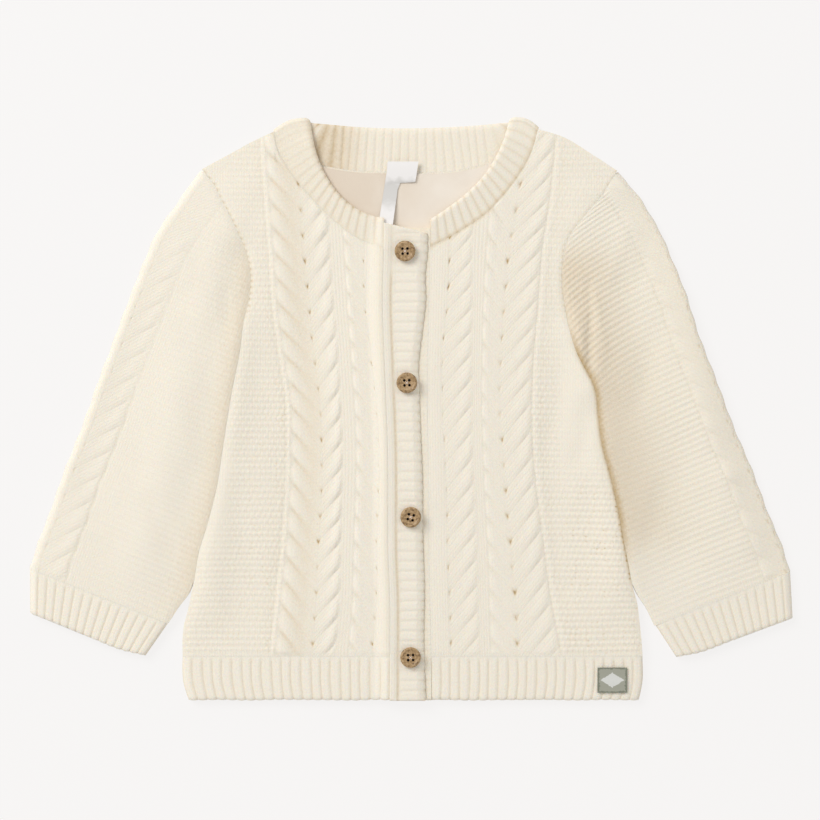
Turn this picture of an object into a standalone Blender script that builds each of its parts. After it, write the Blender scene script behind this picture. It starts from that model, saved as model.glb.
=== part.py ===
"""Baby cardigan in cable knit, laid flat on its back and buttoned up.

Left and right are as seen from above with the neck at +Y. Sizes are in millimetres, and
a height is measured up the garment from the lower edge of its hem. Every mesh is turned
into metres when it is made. The garment rests on z = 0.
"""
import math

import bmesh
import bpy
import numpy as np
from mathutils import Matrix, Vector, geometry

MM = 0.001
GARMENT_LENGTH = 317.0      # lower edge of the hem to the top of the neckband
HEM_HEIGHT = 24.0           # rib along the lower edge
WALL = 2.5                  # thickness of the knitted cloth
GAP = 0.3                   # between layers that lie on each other
SEAM = 0.35                 # between pieces that are sewn edge to edge
BACK_TOP = WALL
FRONT_UNDERSIDE = BACK_TOP + GAP
FRONT_TOP = FRONT_UNDERSIDE + WALL
BAND_LIFT = WALL + GAP      # how far the upper front band lies above the lower one
LIFT_RUN = 9.0              # width over which the left front climbs onto the lower band

CABLE_PITCH = 13.85         # from one crossing to the next on the fronts
SLEEVE_CABLE_PITCH = 14.6
FIRST_CROSSING = 30.3       # height of the lowest crossing
CABLE_DROP = 14.0           # how far a strand falls on its way to the line of holes
CABLE_RELIEF = 1.9
CROSSING_RISE = 0.4         # share of that relief between two holes of a cable
COLUMN_RELIEF = 0.7         # the plain column between the double and the single cable
BORDER_RELIEF = 0.5         # the ridge beside the double cable
RIB_RELIEF = 0.7
SEAM_RIB_SHARE = 0.6        # share of a rib's relief where it is sewn on
HEM_RIB_HEIGHTS = (1.6, 19.5)
RIB_PITCH = 5.3
BAND_RIB_PITCH = 5.4

SIDE_DROP = 1.5             # how far a front falls towards its side seam
SIDE_REACH = 6.0            # over which width it does
ARMHOLE_DROP = 0.5
ARMHOLE_REACH = 2.0
UNDERARM_BLEND = 12.0       # height over which the side turns into the armhole
SEAM_EDGE_DROP = 0.9        # how far a sleeve falls towards its inner edge
SEAM_EDGE_REACH = 2.5
RIB_EDGE_DROP = 1.5         # how far a hem or cuff falls towards its side
RIB_EDGE_REACH = 5.0
LOW_EDGE_DROP = 1.3         # how much thinner a hem's lower edge is
LEAST_EDGE = 0.6            # thickness that every edge keeps
ROUND_BELOW = 1.0           # how far the underside stays back from a round side

HEM_SIDE_HEIGHTS = (5, 11, 17)
ROW_STEP = 13.85            # spacing of the plain rows of points
ARMHOLE_STEP = 5.0
SHOULDER_STEP = 9.0
PLAIN_STEP = 12.0           # along the straight edges of the back
SLEEVE_STEP = 7.0

BUTTON_DIAMETER = 11.4
BUTTON_THICKNESS = 2.6
BUTTON_SIDES = 20
BUTTON_HOLE_CIRCLE = 1.7
BUTTON_HOLE_RADIUS = 0.75

KNIT_CREAM = ("knit_cream", (0.93, 0.87, 0.74), 0.9)
JERSEY_CREAM = ("jersey_cream", (0.93, 0.86, 0.78), 0.85)
WOOD_BROWN = ("wood_brown", (0.33, 0.21, 0.12), 0.45)
SATIN_WHITE = ("satin_white", (0.93, 0.93, 0.91), 0.35)
WOVEN_SAGE = ("woven_sage", (0.55, 0.58, 0.49), 0.7)


def table(columns, *rows):
    """Sizes in millimetres under named columns."""
    names = columns.split()
    return {name: np.array([row[i] for row in rows], float) for i, name in enumerate(names)}


BUTTONS = table(
    "height x tilt turn",
    (243.8, -3.0, 6, 0), (172.4, -2.0, 0, 12), (99.7, 0.1, 0, 24), (23.8, 0.0, 0, 36),
)
# Half a button's section: its underside, side, rim and dished face.
BUTTON_PROFILE = table("inwards up", (0.7, 0), (0, 0.9), (0.2, 2.3), (1.0, 2.6), (1.8, 2.0))

# The labels' corners, anticlockwise. The neck label is a long strip with a short leaf.
NECK_LABEL = table(
    "x height",
    (-17.2, 259.8), (-9.6, 258.4), (-7.0, 277.5), (-5.6, 281), (2.6, 281.5), (4.4, 292.6),
    (-12.4, 292.6), (-12.8, 288),
)
HEM_LABEL = table("x height", (101.4, 4.4), (117.4, 4.4), (117.4, 18), (101.4, 18))

# The left edge of the body: the side seam, then the armhole up to the shoulder.
LEFT_EDGE = table(
    "height x",
    (0, -120.5), (9, -123), (24, -123.8), (41, -123), (49.5, -120.8), (65, -117.6),
    (81, -114.8), (95, -110.5), (114, -105.6), (141, -101.3), (168, -96.9), (190, -92.6),
    (206, -90.5), (220, -87.4), (232, -86.9), (243, -89.2), (258, -95.5), (271.5, -102.4),
    (281.5, -107.6), (288.4, -113.4),
)
RIGHT_EDGE = table(
    "height x",
    (0, 124), (9, 126), (24, 126), (43, 124.3), (53, 123), (62, 120.5), (74.5, 118),
    (87, 115.6), (109, 111.5), (125, 107.5), (139, 103.8), (156, 101.6), (166, 100.6),
    (174, 98), (181, 94.2), (187, 90.9), (201.5, 86.1), (212, 84), (226, 82.1), (239, 82.4),
    (251, 85.5), (264, 95), (274, 103.5), (281, 108), (287.6, 112.2),
)
LEFT_UNDERARM = 206.0
RIGHT_UNDERARM = 174.0

# Guide lines of the knit on each front, at a few heights.
LEFT_GUIDES = table(
    "height garter_edge twin_holes twin_inner single_outer single_holes band_seam",
    (0, -75.5, -54.5, -41.5, -34.5, -21.5, -11.4),
    (24, -74, -53.5, -41, -34, -21, -11.2),
    (54, -71, -51.3, -38.3, -31.8, -18.4, -11.2),
    (81.5, -68, -50.2, -37.7, -31, -18.2, -12.2),
    (109, -66, -48.6, -37.2, -30.1, -17.4, -12.2),
    (136, -64.9, -48.1, -36.7, -29.6, -17.2, -12.4),
    (163, -65.4, -49.4, -37.7, -30.7, -18.7, -13.3),
    (190, -69.4, -52.7, -39.1, -32.6, -21.7, -14.4),
    (217, -72.8, -55.4, -41.5, -34.5, -24.6, -15.2),
    (244, -74.7, -57.8, -43.2, -36.1, -25.2, -14.6),
    (271.5, -76.8, -60, -44.8, -37.7, -26.3, -14.4),
    (312, -80, -63, -47, -40, -28, -14.4),
)
RIGHT_GUIDES = table(
    "height garter_edge twin_holes twin_inner single_outer single_holes band_seam",
    (0, 82.5, 59, 43.8, 38.2, 21.5, 11.3),
    (24, 81.4, 58.4, 43.4, 37.8, 21.4, 11.1),
    (54, 76, 57, 42.6, 37, 21.1, 10.6),
    (81.5, 72.2, 54.6, 41.8, 36.2, 19.8, 10),
    (109, 68.7, 52.1, 40.2, 35, 19.2, 10),
    (136, 66, 50, 39.2, 33.9, 18.2, 9.6),
    (163, 65.4, 48.3, 38.5, 33.7, 17, 9.2),
    (190, 66.7, 49.1, 38.8, 33.7, 17.2, 9.5),
    (217, 69, 50.8, 39.5, 33.9, 19.8, 10),
    (244, 71, 53.5, 41, 33.5, 20.9, 10.6),
    (271.5, 75, 58.2, 43.2, 34.5, 21.4, 10.6),
    (312, 79, 62, 46.5, 36, 22, 10.6),
)
SHOULDERS = table(
    "x height",
    (-113.4, 288.4), (-99, 296.2), (-84, 304.3), (-74.5, 308.7), (70, 310), (84, 305.4),
    (99, 296.2), (112.2, 287.6),
)

# The neckband: its sewn edge and its free edge, from the centre front round the back.
NECK_LEFT = table(
    "seam_x seam_height free_x free_height",
    (-14.4, 246.3, -14.4, 261.9), (-24.2, 248.9, -22.2, 263.7), (-41.2, 260.2, -32.3, 269.1),
    (-55.3, 274.5, -41.2, 278), (-68.1, 291.6, -48.3, 290), (-72.5, 301, -52.5, 303),
    (-73.8, 307.2, -53.9, 314.2),
)
NECK_BACK = table(
    "seam_x seam_height free_x free_height",
    (-73.8, 307.2, -53.9, 314.2), (-59, 294.5, -41, 312.8), (-38.3, 288.9, -25.8, 311.6),
    (-5.7, 287.2, -6, 311), (26.9, 288.3, 19.2, 311.6), (50, 295, 40.5, 313),
    (68.8, 308.7, 53, 314.4),
)
NECK_RIGHT = table(
    "seam_x seam_height free_x free_height",
    (68.8, 308.7, 53, 314.4), (66.9, 301.5, 50.6, 305), (62.4, 291.5, 47, 296.5),
    (53.4, 278.1, 39.9, 285.3), (39.9, 263.7, 28.2, 273.6), (26.4, 254.7, 16.5, 265),
    (10.7, 246.3, 10.7, 261.2),
)
NECK_RIBS = {"left": 16, "back": 24, "right": 16}
FREE_EDGE_RISE = 1.6        # how far the neckband's free edge lies above its sewn edge
CORNER_SHARE = 6            # it comes down again over this part of the band's run
FOLD_PARTS = 6              # of the half turn round a shoulder corner

# The buttonhole band's free edge.
BAND_EDGE = table(
    "height x",
    (0, 8.2), (27, 7.3), (40, 7.2), (61, 7.6), (88, 6.6), (120, 6.4), (141.5, 5.6),
    (163, 4.9), (181, 4.3), (203, 6.7), (217, 8.2), (231, 7.9), (244.5, 9.2), (254, 9.2),
)
BAND_EDGE_DROP = 0.7        # how far the band falls towards its edges
BAND_ROLL = table("across rise", (2.2, 0.5), (4.8, -0.5))   # the column, the dip after it
BAND_RIB_START = 6.4        # from the band's seam
BAND_RIB_END = 1.4          # from its free edge
BAND_TOP_LEFT = 259.5
BAND_TOP_RIGHT = 253.5
BAND_UNDER_EXTRA = 3.0      # how far the lower band reaches above the upper one's corner
BAND_UNDER_START = 1.2      # from the upper band's seam to the lower one's hidden edge
LINING_BASE = (-12.5, 8.8)  # where the lining's lower edge starts and ends

# The sleeves: their outer edge and the free stretch of their inner edge.
SLEEVES = {
    "left": {
        "outer": table(
            "height x",
            (71.7, -207), (84, -203.2), (100.5, -196.8), (125, -188.2), (149, -178.6),
            (174, -169.7), (198, -160.6), (222.5, -151.4), (239, -144.8), (255, -137.5),
            (263.5, -131.8), (271.5, -126), (279.5, -120.6), (288.4, -113.7),
        ),
        "inner": table(
            "height x", (41.8, -131.7), (51.6, -125.4), (63, -119.2), (72.8, -117.2),
        ),
    },
    "right": {
        "outer": table(
            "height x",
            (70, 206.3), (84, 202), (100.5, 195), (125, 185.8), (149, 175.5), (174, 166.2),
            (198, 156.8), (222.5, 149), (239, 142.3), (255, 135.5), (263.5, 130.6),
            (271.5, 125.8), (279.5, 119.4), (287.6, 112.5),
        ),
        "inner": table(
            "height x", (40.2, 132.8), (52, 127.3), (59.5, 123.8), (68, 120.2),
        ),
    },
}
ROW_SLOPE = math.radians(21.8)      # how far a sleeve's rows lean
SLEEVE_HOLES = {"left": 5.0, "right": 2.0}      # from the fold to the line of holes
SLEEVE_CABLE = {"left": 15.5, "right": 13.5}    # width of the half that shows
SLEEVE_GAP = 0.56           # across, between a sleeve and the body's side
SLEEVE_REACH = 240.0        # length of the folded edge, with some to spare
FOLD_RADIUS = 5.0
FOLD_HEIGHT = FRONT_UNDERSIDE - GAP / 2     # of the folded edge itself
FOLD_INSET = 1.6            # how far its underside stays back
FOLD_WALL = WALL + 0.4      # thickness of the cloth left at the fold
CUFFS = {
    "left": table(
        "seam_x seam_height end_x end_height",
        (-207, 71.3, -206.8, 47.2), (-188, 64, -187.5, 39.5), (-173, 58, -173, 33.5),
        (-154, 50.3, -158, 27.5), (-132, 41.4, -144.2, 24.2),
    ),
    "right": table(
        "seam_x seam_height end_x end_height",
        (206.8, 69.6, 207.8, 44.5), (190.2, 63.6, 190, 38), (171, 56.4, 174, 32),
        (149.4, 48, 157, 25.8), (133.2, 39.8, 144.6, 23.4),
    ),
}
CUFF_RIBS = 14
SLIT_END = 60.0             # x at which the cutters between two layers end, under the body
CUFF_FALL = 60.0            # how much lower than its outer corner a cuff reaches, and more
LINING_TUCK = 2.0           # how far the lining runs under the neckband
LINING_THICKNESS = 1.0
LABEL_THICKNESS = 0.6


# A strand of a half cable, from its outer edge at 0 to its line of holes at 1, and the
# valley before the next one: where their points lie, with their share of the relief.
STRAND_VALLEY = table("run relief", (0.02, 0.15), (0.33, 0.2), (0.66, 0.15))
STRAND_CREST = table("run relief", (0.07, 0.55), (0.34, 1.0), (0.68, 0.92), (0.92, 0.45))
STRAND_ROWS = ((0.0, STRAND_VALLEY), (0.33, STRAND_CREST), (0.7, STRAND_CREST))
RIB_CREST = (0.3, 0.7)      # where a rib's crest starts and ends

# A crease runs down the right sleeve into the underarm.
UNDERARM_CREASE = table(
    "height x depth",
    (178, 98.9, 1.1), (192, 96.9, 1.5), (208.5, 96.4, 1.3), (228, 97.5, 0.4),
)
CREASE_WIDTH = 4.0          # from its bottom to the plain cloth on either side


def smooth(keys, values, at):
    """A soft curve through a table's points, straight beyond its ends."""
    keys = np.asarray(keys, float)
    values = np.asarray(values, float)
    slopes = np.gradient(values, keys)
    i = int(np.clip(np.searchsorted(keys, at) - 1, 0, len(keys) - 2))
    if at <= keys[0]:
        return float(values[0] + slopes[0] * (at - keys[0]))
    if at >= keys[-1]:
        return float(values[-1] + slopes[-1] * (at - keys[-1]))
    span = keys[i + 1] - keys[i]
    t = (at - keys[i]) / span
    start = (2 * t**3 - 3 * t**2 + 1) * values[i] + (t**3 - 2 * t**2 + t) * span * slopes[i]
    end = (3 * t**2 - 2 * t**3) * values[i + 1] + (t**3 - t**2) * span * slopes[i + 1]
    return float(start + end)


def across(sizes, column, height):
    return smooth(sizes["height"], sizes[column], height)


def along(sizes, x_column, height_column, fraction):
    """A point at a fraction of a table's run, read by its rows' distances."""
    xs = sizes[x_column]
    heights = sizes[height_column]
    run = np.concatenate(([0.0], np.cumsum(np.hypot(np.diff(xs), np.diff(heights)))))
    at = fraction * run[-1]
    return smooth(run, xs, at), smooth(run, heights, at)


def ease(t):
    t = min(max(t, 0.0), 1.0)
    return t * t * (3 - 2 * t)


def rounded(distance, radius, low, high):
    """Height of a round edge at a distance inwards from it."""
    t = min(max(distance / radius, 0.0), 1.0)
    return low + (high - low) * math.sqrt(1 - (1 - t)**2)


def steps(start, end, step):
    count = max(1, round(abs(end - start) / step))
    return [start + (end - start) * i / count for i in range(count + 1)]


def edge_point(edge, height, outwards):
    """A point on the body's edge, moved outwards at right angles to it."""
    x = across(edge, "x", height)
    slope = across(edge, "x", height + 0.5) - across(edge, "x", height - 0.5)
    side = -1 if x < 0 else 1
    length = math.hypot(1, slope)
    return x + side * outwards / length, height - side * slope * outwards / length


def edge_run(edge, underarm):
    """The body's edge from the hem seam up to the shoulder."""
    low = steps(HEM_HEIGHT, underarm, ROW_STEP)
    high = steps(underarm, edge["height"][-1], ARMHOLE_STEP)[1:]
    return [edge_point(edge, height, 0.0) for height in low + high]


# Solids -----------------------------------------------------------------------------


def material(finish):
    name, colour, roughness = finish
    found = bpy.data.materials.get(name)
    if found:
        return found
    made = bpy.data.materials.new(name)
    made.use_nodes = True
    shader = made.node_tree.nodes["Principled BSDF"]
    shader.inputs["Base Color"].default_value = (*colour, 1.0)
    shader.inputs["Roughness"].default_value = roughness
    shader.inputs["Metallic"].default_value = 0.0
    return made


def add_object(name, bm, finish):
    """Makes an object of a mesh given in millimetres, with heights measured from the hem."""
    bmesh.ops.translate(bm, verts=bm.verts, vec=(0, -GARMENT_LENGTH / 2, 0))
    bmesh.ops.scale(bm, verts=bm.verts, vec=(MM, MM, MM))
    bmesh.ops.recalc_face_normals(bm, faces=bm.faces)
    mesh = bpy.data.meshes.new(name)
    bm.to_mesh(mesh)
    bm.free()
    mesh.materials.append(material(finish))
    made = bpy.data.objects.new(name, mesh)
    bpy.context.scene.collection.objects.link(made)
    return made


def is_inside(x, height, outline, margin):
    """Whether a point lies in an outline and at least a margin away from it."""
    inside = False
    for (ax, ay), (bx, by) in zip(outline, outline[1:] + outline[:1]):
        if (ay > height) != (by > height) and x < (bx - ax) * (height - ay) / (by - ay) + ax:
            inside = not inside
        length = math.hypot(bx - ax, by - ay)
        t = ((x - ax) * (bx - ax) + (height - ay) * (by - ay)) / max(length * length, 1e-9)
        t = min(max(t, 0.0), 1.0)
        if math.hypot(x - ax - t * (bx - ax), height - ay - t * (by - ay)) < margin:
            return False
    return inside


def surface(bm, rim, lines, margin):
    """Triangles inside a rim of (x, height, z), through lines of such points."""
    outline = [(x, height) for x, height, _ in rim]
    points = list(rim)
    edges = []
    for line in lines:
        previous = None
        for point in line:
            if is_inside(point[0], point[1], outline, margin):
                points.append(point)
                index = len(points) - 1
                if previous is not None:
                    edges.append((previous, index))
                previous = index
            else:
                previous = None
    flat = [Vector((x, height)) for x, height, _ in points]
    loop = list(range(len(rim)))
    cut = geometry.delaunay_2d_cdt(flat, edges, [loop], 1, 1e-4)
    made = {}
    for index, sources in enumerate(cut[3]):
        if not sources:
            raise ValueError(f"lines cross at {cut[0][index]}")
        made[index] = bm.verts.new(points[sources[0]])
        made[index].index = sources[0]
    rim_verts = {v.index: v for v in made.values() if v.index < len(rim)}
    for triangle in cut[2]:
        bm.faces.new([made[i] for i in triangle])
    return [rim_verts[i] for i in loop]


def inset_point(rim, i, distance):
    before = Vector(rim[i - 1][:2])
    after = Vector(rim[(i + 1) % len(rim)][:2])
    run = (after - before).normalized()
    return rim[i][0] - run.y * distance, rim[i][1] + run.x * distance


def wall(name, rim, lines, finish, under_lines=(), margin=0.7):
    """A closed wall. The rim runs anticlockwise: (x, height, top, underside, inset below)."""
    bm = bmesh.new()
    top_rim = [(x, height, top) for x, height, top, _, _ in rim]
    low_rim = []
    for i, (_, _, _, underside, inset) in enumerate(rim):
        x, height = inset_point(rim, i, inset)
        low_rim.append((x, height, underside))
    upper = surface(bm, top_rim, lines, margin)
    lower = surface(bm, low_rim, under_lines, margin)
    for i in range(len(rim)):
        j = (i + 1) % len(rim)
        bm.faces.new((upper[i], lower[i], lower[j], upper[j]))
    return add_object(name, bm, finish)


def cut_away(target, cutter):
    """Takes a cutter's space out of a solid."""
    cutter.hide_render = True
    cutter.display_type = "WIRE"
    cut = target.modifiers.new("cut_" + cutter.name, "BOOLEAN")
    cut.operation = "DIFFERENCE"
    cut.solver = "EXACT"
    cut.object = cutter


# Knit -------------------------------------------------------------------------------


def strand_lines(place, levels, pitch, top_at):
    """Points of a half cable: slanted strands that fall from its outer edge to its holes.

    place gives a point from its level along the cable and its run across it, and top_at
    the cloth's plain top there. levels are those of the crossings.
    """
    lines = []
    for level in levels:
        for phase, strand in STRAND_ROWS:
            line = []
            for run, share in zip(strand["run"], strand["relief"]):
                x, height = place(level + phase * pitch + CABLE_DROP * (1 - run), run)
                line.append((x, height, top_at(x, height) + CABLE_RELIEF * share))
            lines.append(line)
    return lines


def hole_line(place, levels, pitch, top_at):
    """The line of crossings at a half cable's edge: low at each hole, higher between."""
    line = []
    for level in levels:
        for phase, share in ((0.0, 0.0), (0.5, CROSSING_RISE)):
            x, height = place(level + phase * pitch, 1.0)
            line.append((x, height, top_at(x, height) + CABLE_RELIEF * share))
    return line


def rib_positions(start, end, ribs):
    """Where a run of ribs has its valleys and the two sides of its crests."""
    pitch = (end - start) / ribs
    places = []
    for k in range(ribs):
        places.append((start + k * pitch, 0.0))
        places += [(start + (k + crest) * pitch, 1.0) for crest in RIB_CREST]
    places.append((end, 0.0))
    return places


# Body -------------------------------------------------------------------------------


def shoulder_height(x):
    return smooth(SHOULDERS["x"], SHOULDERS["height"], x)


def neck_seam(side):
    """The sewn neckline from the centre front to the shoulder, as points."""
    sizes = NECK_LEFT if side == "left" else NECK_RIGHT
    ribs = NECK_RIBS[side]
    points = [along(sizes, "seam_x", "seam_height", i / ribs) for i in range(ribs + 1)]
    return points if side == "left" else points[::-1]


def away_from(points, distance, side):
    """Moves a line of points sideways, to the left of its run for side 1."""
    moved = []
    for i, (x, height) in enumerate(points):
        before = Vector(points[max(i - 1, 0)])
        after = Vector(points[min(i + 1, len(points) - 1)])
        run = (after - before).normalized()
        moved.append((x - run.y * distance * side, height + run.x * distance * side))
    return moved


def climb_to(seam, x):
    """The climb before a seam that lies on the lower band, level for its last millimetre."""
    return BAND_LIFT * ease((x - seam + LIFT_RUN) / (LIFT_RUN - 1.0))


def lift_lines(heights):
    """Points under the left front where it climbs."""
    lines = []
    for share in (0.0, 0.35, 0.7):
        line = []
        for height in heights:
            x = across(LEFT_GUIDES, "band_seam", height) - LIFT_RUN * (1 - share)
            line.append((x, height, FRONT_UNDERSIDE + lift("left", x, height)))
        lines.append(line)
    return lines


def lift(side, x, height):
    """How far the left front climbs towards the band that it carries."""
    if side == "right":
        return 0.0
    return climb_to(across(LEFT_GUIDES, "band_seam", height), x)


def make_front(side):
    """One front: plain side panel, double cable, plain column, single cable."""
    sign = -1 if side == "left" else 1
    edge = LEFT_EDGE if side == "left" else RIGHT_EDGE
    guides = LEFT_GUIDES if side == "left" else RIGHT_GUIDES
    underarm = LEFT_UNDERARM if side == "left" else RIGHT_UNDERARM
    top = edge["height"][-1]

    def plain(x, height):
        inwards = (across(edge, "x", min(height, top)) - x) * sign
        if height > top:
            inwards = SIDE_REACH
        side_share = ease((underarm - height) / UNDERARM_BLEND)
        drop = ARMHOLE_DROP + (SIDE_DROP - ARMHOLE_DROP) * side_share
        reach = ARMHOLE_REACH + (SIDE_REACH - ARMHOLE_REACH) * side_share
        return rounded(inwards, reach, FRONT_TOP - drop, FRONT_TOP) + lift(side, x, height)

    side_run = edge_run(edge, underarm)
    neck = away_from(neck_seam(side), SEAM, -sign)
    shoulder = [(x, shoulder_height(x))
                for x in steps(side_run[-1][0], neck[-1][0], SHOULDER_STEP)[1:-1]]
    seam_run = [(across(guides, "band_seam", height), height)
                for height in steps(neck[0][1], HEM_HEIGHT, ROW_STEP / 2)[1:]]
    hem_run = [(x, HEM_HEIGHT)
               for x in steps(seam_run[-1][0], side_run[0][0], RIB_PITCH * 1.5)[1:-1]]
    outline = side_run + shoulder + neck[::-1] + seam_run + hem_run
    if side == "left":
        outline = outline[::-1]
    rim = [(x, height, plain(x, height), FRONT_UNDERSIDE + lift(side, x, height), 0.0)
           for x, height in outline]

    lines = []
    levels = [FIRST_CROSSING + k * CABLE_PITCH
              for k in range(-1, int((GARMENT_LENGTH - FIRST_CROSSING) / CABLE_PITCH) + 1)]
    for outer, holes in (("garter_edge", "twin_holes"), ("twin_inner", "twin_holes"),
                         ("single_outer", "single_holes")):
        def place(height, run, outer=outer, holes=holes):
            start = across(guides, outer, height)
            return start + (across(guides, holes, height) - start) * run, height

        lines += strand_lines(place, levels, CABLE_PITCH, plain)
        if outer != "twin_inner":
            lines.append(hole_line(place, levels, CABLE_PITCH, plain))
    column = []
    border = []
    for height in steps(HEM_HEIGHT + 4, GARMENT_LENGTH, ROW_STEP):
        x = (across(guides, "twin_inner", height) + across(guides, "single_outer", height)) / 2
        column.append((x, height, plain(x, height) + COLUMN_RELIEF))
        x = across(guides, "garter_edge", height) + sign * 2.0
        border.append((x, height, plain(x, height) + BORDER_RELIEF))
    lines += [column, border]
    for share in (0.2, 0.5, 1.0):
        spots = [edge_point(edge, height, -SIDE_REACH * share)
                 for height in steps(HEM_HEIGHT + 3, underarm - 3, ROW_STEP)]
        lines.append([(x, height, plain(x, height)) for x, height in spots])
    panel = []
    for height in steps(HEM_HEIGHT + 10, top, ROW_STEP * 1.5):
        x = (across(edge, "x", height) + across(guides, "garter_edge", height)) / 2
        panel.append((x, height, plain(x, height)))
    lines.append(panel)
    under = []
    if side == "left":
        under = lift_lines(steps(HEM_HEIGHT + 6, neck[0][1] - 8, ROW_STEP))
    wall("front_" + side, rim, lines, KNIT_CREAM, under)


def make_back():
    """The back, plain, from the hem seam to the shoulders and the back of the neck."""
    left = edge_run(LEFT_EDGE, LEFT_UNDERARM)
    right = edge_run(RIGHT_EDGE, RIGHT_UNDERARM)
    ribs = NECK_RIBS["back"]
    neck = [along(NECK_BACK, "seam_x", "seam_height", i / ribs) for i in range(ribs + 1)]
    neck = away_from(neck, SEAM, -1)
    left_shoulder = [(x, shoulder_height(x))
                     for x in steps(left[-1][0], neck[0][0], SHOULDER_STEP)[1:-1]]
    right_shoulder = [(x, shoulder_height(x))
                      for x in steps(right[-1][0], neck[-1][0], SHOULDER_STEP)[1:-1]]
    outline = right + right_shoulder + neck[::-1] + left_shoulder[::-1] + left[::-1]
    outline += [(x, HEM_HEIGHT) for x in steps(left[0][0], right[0][0], PLAIN_STEP)[1:-1]]
    sides = set(left + right)
    rim = []
    for x, height in outline:
        on_side = (x, height) in sides and HEM_HEIGHT < height < RIGHT_UNDERARM
        rim.append((x, height, BACK_TOP, 0.0, ROUND_BELOW if on_side else 0.0))
    wall("back", rim, [], KNIT_CREAM)


def make_hem_back():
    top = HEM_HEIGHT - SEAM
    left = [edge_point(LEFT_EDGE, height, 0.0) for height in HEM_SIDE_HEIGHTS[::-1] + (0,)]
    right = [edge_point(RIGHT_EDGE, height, 0.0) for height in (0,) + HEM_SIDE_HEIGHTS]
    corners = [(across(LEFT_EDGE, "x", top), top), (across(RIGHT_EDGE, "x", top), top)]
    low = [(x, 0.0) for x in steps(left[-1][0], right[0][0], PLAIN_STEP)[1:-1]]
    high = [(x, top) for x in steps(corners[1][0], corners[0][0], PLAIN_STEP)]
    rim = [(x, height, BACK_TOP, 0.0, ROUND_BELOW if height < top else 0.0)
           for x, height in left + low + right + high]
    wall("hem_back", rim, [], KNIT_CREAM)


def make_hem_front(side):
    """A rib strip: every rib runs from the hem seam down over the lower edge."""
    edge = LEFT_EDGE if side == "left" else RIGHT_EDGE
    guides = LEFT_GUIDES if side == "left" else RIGHT_GUIDES
    ribs = round(abs(across(edge, "x", 12) - across(guides, "band_seam", 12)) / RIB_PITCH)
    top = HEM_HEIGHT - SEAM

    def place(share, height):
        start = across(guides, "band_seam", height)
        return start + (across(edge, "x", height) - start) * share

    def high(share, height, wave, drop=0.0):
        x = place(share, height)
        rise = lift(side, x, height)
        to_side = abs(across(edge, "x", height) - x)
        base = rounded(to_side, RIB_EDGE_REACH, FRONT_TOP - RIB_EDGE_DROP, FRONT_TOP)
        z = max(base + RIB_RELIEF * wave - drop, FRONT_UNDERSIDE + LEAST_EDGE)
        return x, height, z + rise

    low_run = []
    top_run = []
    lines = []
    for share, wave in rib_positions(0.0, 1.0, ribs):
        low_run.append(high(share, 0.0, wave, LOW_EDGE_DROP))
        top_run.append(high(share, top, wave * SEAM_RIB_SHARE))
        lines.append([high(share, height, wave) for height in HEM_RIB_HEIGHTS])
    side_run = [high(1.0, height, 0.0) for height in HEM_SIDE_HEIGHTS]
    band_run = [high(0.0, height, 0.0) for height in HEM_SIDE_HEIGHTS[::-1]]
    loop = low_run + side_run + top_run[::-1] + band_run
    if side == "left":
        loop = loop[::-1]
    rim = [(x, height, z, FRONT_UNDERSIDE + lift(side, x, height), 0.0)
           for x, height, z in loop]
    under = lift_lines((2.0, 12.0, 22.0)) if side == "left" else []
    wall("hem_" + side, rim, lines, KNIT_CREAM, under)


def make_band_buttonhole():
    """The upper band: a smooth rolled column beside the seam, then cross ribs."""
    low = FRONT_UNDERSIDE + BAND_LIFT
    high = low + WALL
    edge = high - BAND_EDGE_DROP

    def left_x(height):
        return across(LEFT_GUIDES, "band_seam", height) + SEAM

    def right_x(height):
        return across(BAND_EDGE, "x", height)

    right_run = []
    lines = []
    for share, wave in rib_positions(0.0, 1.0, round(BAND_TOP_RIGHT / BAND_RIB_PITCH)):
        height = share * BAND_TOP_RIGHT
        right_run.append((right_x(height), height, edge + RIB_RELIEF * wave))
        if 0.0 < share < 1.0:
            z = high + RIB_RELIEF * wave
            lines.append([(left_x(height) + BAND_RIB_START, height, z),
                          (right_x(height) - BAND_RIB_END, height, z)])
    for offset, rise in zip(BAND_ROLL["across"], BAND_ROLL["rise"]):
        lines.append([(left_x(height) + offset, height, high + rise)
                      for height in steps(BAND_TOP_LEFT - 2, 2.0, ROW_STEP)])
    left_run = [(left_x(height), height, edge)
                for height in steps(BAND_TOP_LEFT, 0.0, ROW_STEP / 2)]
    low_run = [(x, 0.0, edge) for x in steps(left_x(0.0), right_x(0.0), RIB_PITCH)[1:-1]]
    corner = (right_x(BAND_TOP_RIGHT), BAND_TOP_RIGHT)
    far_corner = (left_x(BAND_TOP_LEFT), BAND_TOP_LEFT)
    top_run = []
    for share in (0.25, 0.5, 0.75):
        x = corner[0] + (far_corner[0] - corner[0]) * share
        top_run.append((x, corner[1] + (far_corner[1] - corner[1]) * share, edge))
    loop = low_run + right_run + top_run + left_run
    wall("band_buttonhole", [(x, h, z, low, 0.0) for x, h, z in loop], lines, KNIT_CREAM)


def make_band_button():
    """The lower band, plain, under the upper one."""
    top = BAND_TOP_RIGHT + BAND_UNDER_EXTRA
    right_run = [(across(RIGHT_GUIDES, "band_seam", height) - SEAM, height)
                 for height in steps(0.0, top, ROW_STEP)]
    left_run = [(across(LEFT_GUIDES, "band_seam", height) + BAND_UNDER_START, height)
                for height in steps(top, 0.0, ROW_STEP)]
    rim = [(x, height, FRONT_TOP, FRONT_UNDERSIDE, 0.0) for x, height in right_run + left_run]
    wall("band_button", rim, [], KNIT_CREAM)


# Sleeves and cuffs --------------------------------------------------------------------


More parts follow.
